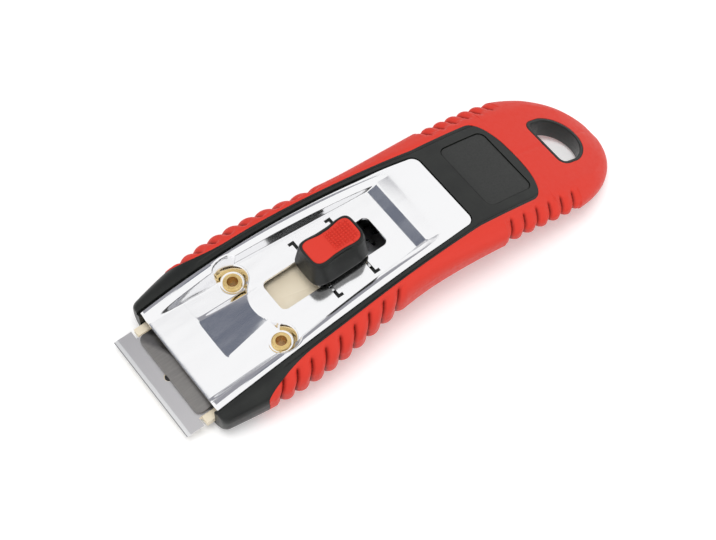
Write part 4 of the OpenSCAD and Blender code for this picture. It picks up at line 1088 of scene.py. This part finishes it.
def sign_pow(v, power):
    return np.sign(v) * np.abs(v) ** power


def knob_ring(length, width, waist, inset):
    u = sign_pow(np.cos(knob_turn), 0.45)
    v = sign_pow(np.sin(knob_turn), 0.45)
    half = width / 2 - waist * np.cos(np.pi / 2 * u) ** 2
    return np.column_stack([KNOB_X + u * (length / 2 - inset), v * (half - inset)])


def dish_z(x):
    return KNOB_Z - KNOB_DISH + DISH_R - np.sqrt(DISH_R ** 2 - (x - KNOB_X) ** 2)


def knob_level(t, inset):
    ring = knob_ring(mix(KNOB_LEN, TOP_LEN, t), mix(KNOB_W, TOP_W, t), WAIST * t, inset)
    return np.column_stack([ring, np.full(KNOB_STEPS, mix(KNOB_LOW, KNOB_Z, t))])


def top_ring(inset, drop):
    ring = knob_ring(TOP_LEN, TOP_W, WAIST, inset)
    return np.column_stack([ring, dish_z(ring[:, 0]) - drop])


# %% Knob body
levels = [knob_level(t, inset) for t, inset in ((0, 0.45), (0.012, 0.2), (0.04, 0.05), (0.07, 0))]
levels += [knob_level(t, 0) for t in np.linspace(0.12, 0.86, 12)]
levels += [top_ring(0.45 * (1 - math.cos(a)), 0.55 * (1 - math.sin(a)))
           for a in np.linspace(0, math.pi / 2, 7)]
levels += [top_ring(INSERT_EDGE - 0.12, 0.0), top_ring(INSERT_EDGE, 0.12),
           top_ring(INSERT_EDGE, INSERT_T)]
knob = ring_skin("knob_shell", levels, 40)
stem = prism("stem", round_outline(KNOB_X - 5.75, KNOB_X + 5.75, -5.7, 5.7, 1.7), -1.3, 2.6)
combined(knob, [stem], "UNION", 40)
pocket = block("stem_pocket", KNOB_X - 2.6, KNOB_X + 2.6, -4.4, 4.4, -2, 0.2)
screw_holes = [prism("screw_hole", disc_outline(KNOB_X + s * 4.35, 0, 0.95, 24), -3, 4.3)
               for s in (-1, 1)]
combined(knob, [pocket] + screw_holes, sharp_deg=40)
painted(knob, hard_black)
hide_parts("knob_body")
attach(knob, "knob")
print("knob:", len(knob.data.polygons), "faces")

# %% Knob insert
insert_foot = knob_ring(TOP_LEN, TOP_W, WAIST, INSERT_EDGE + 0.03)
insert_rings = [np.column_stack([insert_foot, np.full(KNOB_STEPS, 9.0)])]
for inset, drop in ((0.03, 0.25), (0.08, 0.08), (0.22, -0.03), (0.45, -0.07), (0.9, -0.08)):
    insert_rings.append(top_ring(INSERT_EDGE + inset, drop))
for scale in (0.8, 0.6, 0.4, 0.2, 0.03):
    ring = insert_rings[5].copy()
    ring[:, 0] = KNOB_X + (ring[:, 0] - KNOB_X) * scale
    ring[:, 1] *= scale
    ring[:, 2] = dish_z(ring[:, 0]) + 0.08
    insert_rings.append(ring)
insert = ring_skin("thumb_insert", insert_rings, 45)
painted(insert, soft_red)
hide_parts("knob_insert")
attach(insert, "knob")

# %% [markdown]
# A tree sets one four-sided pip on every given point, which is how a cross-hatch mould is cut: two
# families of grooves leave a field of small pyramids.

# %% Cross-hatch on the insert
pip_tree, source, output = new_tree("cross_hatch", {
    "Pip width": 0.0009, "Pip height": 0.0003, "Tilt": 0.0})
pip = pip_tree.nodes.new("GeometryNodeMeshCone")
pip.inputs["Vertices"].default_value = 4
pip.inputs["Side Segments"].default_value = 1
for radius, part in (("Radius Bottom", 0.70), ("Radius Top", 0.30)):
    pip_radius = math_node(pip_tree, "MULTIPLY", source.outputs["Pip width"], part)
    pip_tree.links.new(pip_radius, pip.inputs[radius])
pip_tree.links.new(source.outputs["Pip height"], pip.inputs["Depth"])
spin = pip_tree.nodes.new("GeometryNodeTransform")
spin.inputs["Rotation"].default_value = (0, 0, math.pi / 4)
pip_tree.links.new(pip.outputs["Mesh"], spin.inputs["Geometry"])
copies = pip_tree.nodes.new("GeometryNodeInstanceOnPoints")
pip_tree.links.new(source.outputs["Geometry"], copies.inputs["Points"])
pip_tree.links.new(spin.outputs[0], copies.inputs["Instance"])
tilt = pip_tree.nodes.new("ShaderNodeCombineXYZ")
pip_tree.links.new(source.outputs["Tilt"], tilt.inputs["Y"])
pip_tree.links.new(tilt.outputs[0], copies.inputs["Rotation"])
finish_tree(pip_tree, copies.outputs[0], source, output)

PIP = 1.0
places = []
for i in range(0, 10):
    for j in range(-6, 7):
        x, y = KNOB_X - 0.3 + i * PIP, j * PIP
        u = (x - KNOB_X) / (TOP_LEN / 2 - 1.5)
        if abs(u) < 1:
            half = TOP_W / 2 - WAIST * math.cos(math.pi / 2 * u) ** 2 - 1.45
            if abs(u) ** 4.4 + abs(y / half) ** 4.4 < 1:
                places.append((x, y, float(dish_z(np.float64(x))) + 0.16))
pip_mesh = bpy.data.meshes.new("insert_pips")
pip_mesh.from_pydata([tuple(p) for p in laid(places)], [], [])
pips = bpy.data.objects.new("insert_pips", pip_mesh)
bpy.context.collection.objects.link(pips)
run_tree(pips, pip_tree, {"Finish": soft_red, "Tilt": -LEAN})
baked(pips, 30)
painted(pips, soft_red)
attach(pips, "knob")
print("pips:", len(places))

# %% [markdown]
# ## The small parts
#
# Carrier, blade, clamp plate and the lock's parts keep their solids' shapes. The larger ones get a
# softened copy, so that their edges catch a line of light; the others only get their finish. The lock
# spring's leaf really bends when the knob is pressed.

# %% Softened and painted small parts
SOFT_PARTS = [
    ("blade_carrier", 0.35, cream, "cream_plastic", "carriage"),
    ("clamp_plate", 0.12, clamp_steel, "clamp_steel", "carriage"),
    ("lock_spring", 0.08, spring_steel, "spring_steel", "carriage"),
    ("bed_plate", 0.06, zinc_steel, "zinc_steel", "handle"),
    ("knob_foot", 0.10, zinc_steel, "zinc_steel", "knob"),
]
for node, width, finish, slot_name, body in SOFT_PARTS:
    piece = softened(node, width)
    painted(piece, finish)
    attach(piece, body)
    print(piece.name, len(piece.data.polygons), "faces")

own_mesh(bpy.data.objects["lock_spring_soft"])

PLAIN_PARTS = {
    "blade": blade_steel, "blade_pin": dark_pin, "eyelet_far": brass, "eyelet_near": brass,
    "washer_far": zinc_steel, "washer_near": zinc_steel, "clamp_rivet_far": zinc_steel,
    "clamp_rivet_near": zinc_steel, "leaf_rivet_far": zinc_steel, "leaf_rivet_near": zinc_steel,
    "screw_front": zinc_steel, "screw_rear": zinc_steel,
}
for node, finish in PLAIN_PARTS.items():
    solid = frame["nodes"][node]
    for place in solid.material_slots:
        place.material = finish
    if not solid.material_slots:
        solid.data.materials.append(finish)
print("painted solids:", len(PLAIN_PARTS))

# %% [markdown]
# ## The studio
#
# The photograph is cut out on white. The floor and the sky are white for the camera and for what
# polished metal reflects, while the light on the object stays at a plain level. Three dark cards,
# seen only by reflections, stand where the real studio was dark: one overhead, which the ramp and
# the rear slope mirror, one on the near side, which draws the dark lines along the far wall, and a
# grey one behind, which tones the far rim.

# %% Sky and floor
world = bpy.data.worlds.new("white_studio")
bpy.context.scene.world = world
world.use_nodes = True
sky = world.node_tree
sky.nodes.clear()
rays = sky.nodes.new("ShaderNodeLightPath")
lit, seen = sky.nodes.new("ShaderNodeBackground"), sky.nodes.new("ShaderNodeBackground")
lit.inputs["Color"].default_value = (1, 1, 1, 1)
lit.inputs["Strength"].default_value = 0.56
seen.inputs["Color"].default_value = (1, 1, 1, 1)
seen.inputs["Strength"].default_value = 1.0
either = math_node(sky, "MAXIMUM", rays.outputs["Is Camera Ray"], rays.outputs["Is Glossy Ray"])
either = math_node(sky, "MAXIMUM", either, rays.outputs["Is Transmission Ray"])
chooser = sky.nodes.new("ShaderNodeMixShader")
sky_out = sky.nodes.new("ShaderNodeOutputWorld")
sky.links.new(either, chooser.inputs[0])
sky.links.new(lit.outputs[0], chooser.inputs[1])
sky.links.new(seen.outputs[0], chooser.inputs[2])
sky.links.new(chooser.outputs[0], sky_out.inputs[0])

floor_mesh = bpy.data.meshes.new("floor")
floor_mesh.from_pydata([(-3, -3, 0), (3, -3, 0), (3, 3, 0), (-3, 3, 0)], [], [(0, 1, 2, 3)])
floor = bpy.data.objects.new("floor", floor_mesh)
bpy.context.collection.objects.link(floor)
floor.location.z = -0.0002
floor_white = new_finish("floor_white", (0.93, 0.93, 0.93), 0.9)
floor_tree = floor_white.node_tree
glow = floor_tree.nodes.new("ShaderNodeEmission")
glow.inputs["Color"].default_value = (1, 1, 1, 1)
floor_rays = floor_tree.nodes.new("ShaderNodeLightPath")
shine = math_node(floor_tree, "MAXIMUM",
                  floor_rays.outputs["Is Camera Ray"], floor_rays.outputs["Is Glossy Ray"])
floor_tree.links.new(math_node(floor_tree, "MULTIPLY", shine, 0.22), glow.inputs["Strength"])
adder = floor_tree.nodes.new("ShaderNodeAddShader")
floor_tree.links.new(floor_tree.nodes["Principled BSDF"].outputs[0], adder.inputs[0])
floor_tree.links.new(glow.outputs[0], adder.inputs[1])
floor_tree.links.new(adder.outputs[0], floor_tree.nodes["Material Output"].inputs["Surface"])
floor_mesh.materials.append(floor_white)
print("studio: white sky and floor")

# %% Dark cards for the reflections
def dark_card(name, corners, color):
    mesh = bpy.data.meshes.new(name)
    mesh.from_pydata([tuple(v) for v in laid(corners)], [], [(0, 1, 2, 3)])
    card = bpy.data.objects.new(name, mesh)
    bpy.context.collection.objects.link(card)
    paper = bpy.data.materials.new(name + "_paper")
    paper.use_nodes = True
    tree = paper.node_tree
    tree.nodes.clear()
    light = tree.nodes.new("ShaderNodeEmission")
    light.inputs["Color"].default_value = (*color, 1)
    out = tree.nodes.new("ShaderNodeOutputMaterial")
    tree.links.new(light.outputs[0], out.inputs["Surface"])
    mesh.materials.append(paper)
    card.visible_camera = card.visible_diffuse = card.visible_shadow = False
    card.visible_transmission = False


CARD_HEIGHT, NEAR_CARD_Y = 500, -420


def level_card(name, x0, x1, y0, y1, color):
    corners = [(x0, y0), (x1, y0), (x1, y1), (x0, y1)]
    dark_card(name, [(x, y, CARD_HEIGHT) for x, y in corners], color)


level_card("overhead_card", -14, 84, 150, 300, (0.15, 0.165, 0.21))
near_corners = ((-150, -20), (450, -20), (450, 110), (-150, 110))
dark_card("near_card", [(x, NEAR_CARD_Y, z) for x, z in near_corners], (0.03, 0.03, 0.03))
level_card("far_card", -150, 500, 290, 2200, (0.32, 0.32, 0.35))
print("cards: 3")

# %% Lamps
def soft_lamp(name, place, size, watts):
    """A round soft lamp that looks at the object; polished metal doesn't mirror it."""
    data = bpy.data.lights.new(name, "AREA")
    data.shape = "DISK"
    data.size = size
    data.energy = watts
    lamp = bpy.data.objects.new(name, data)
    bpy.context.collection.objects.link(lamp)
    lamp.location = place
    lamp.visible_glossy = False
    lamp.rotation_euler = (-Vector(place)).to_track_quat("-Z", "Y").to_euler()


soft_lamp("key", (-0.35, -0.15, 1.25), 0.7, 8.0)
soft_lamp("fill", (0.9, -0.9, 0.9), 0.9, 3.6)

# %% [markdown]
# ## The camera
#
# The camera's place was fitted to the photograph's outlines: the directions of its axes and its
# distance are given in the slide frame and turned with the tool. The lens follows from the image
# being 716 pixels wide.

# %% Camera
AZIMUTH, ELEVATION, ROLL = -0.661027676, 1.05773384, 0.0105357659
OFFSET_X, OFFSET_Y, DISTANCE, FOCAL = -26.2211448, -8.44912315, 519.778599, 1700.0
FIT_SHIFT = 35.8
right = np.array([math.cos(AZIMUTH), math.sin(AZIMUTH), 0.0])
back = np.array([math.sin(AZIMUTH) * math.cos(ELEVATION), -math.cos(AZIMUTH) * math.cos(ELEVATION),
                 math.sin(ELEVATION)])
up = np.cross(back, right)
right, up = (math.cos(ROLL) * right + math.sin(ROLL) * up, -math.sin(ROLL) * right + math.cos(ROLL) * up)
eye = DISTANCE * back - OFFSET_X * right - OFFSET_Y * up + np.array([FIT_SHIFT, 0, 0])
camera_data = bpy.data.cameras.new("photo_camera")
camera_data.sensor_fit = "HORIZONTAL"
camera_data.sensor_width = 36.0
camera_data.lens = 36.0 * FOCAL / 716
camera_data.clip_start = 0.01
camera = bpy.data.objects.new("photo_camera", camera_data)
bpy.context.collection.objects.link(camera)
axes = [turned(v) for v in (right, up, back)]
pose = Matrix([[*(a[i] for a in axes), laid(eye)[i]] for i in range(3)] + [[0, 0, 0, 1]])
camera.matrix_world = pose
bpy.context.scene.camera = camera
bpy.context.scene.view_settings.view_transform = "Standard"
print("camera at", [round(v, 3) for v in laid(eye)])
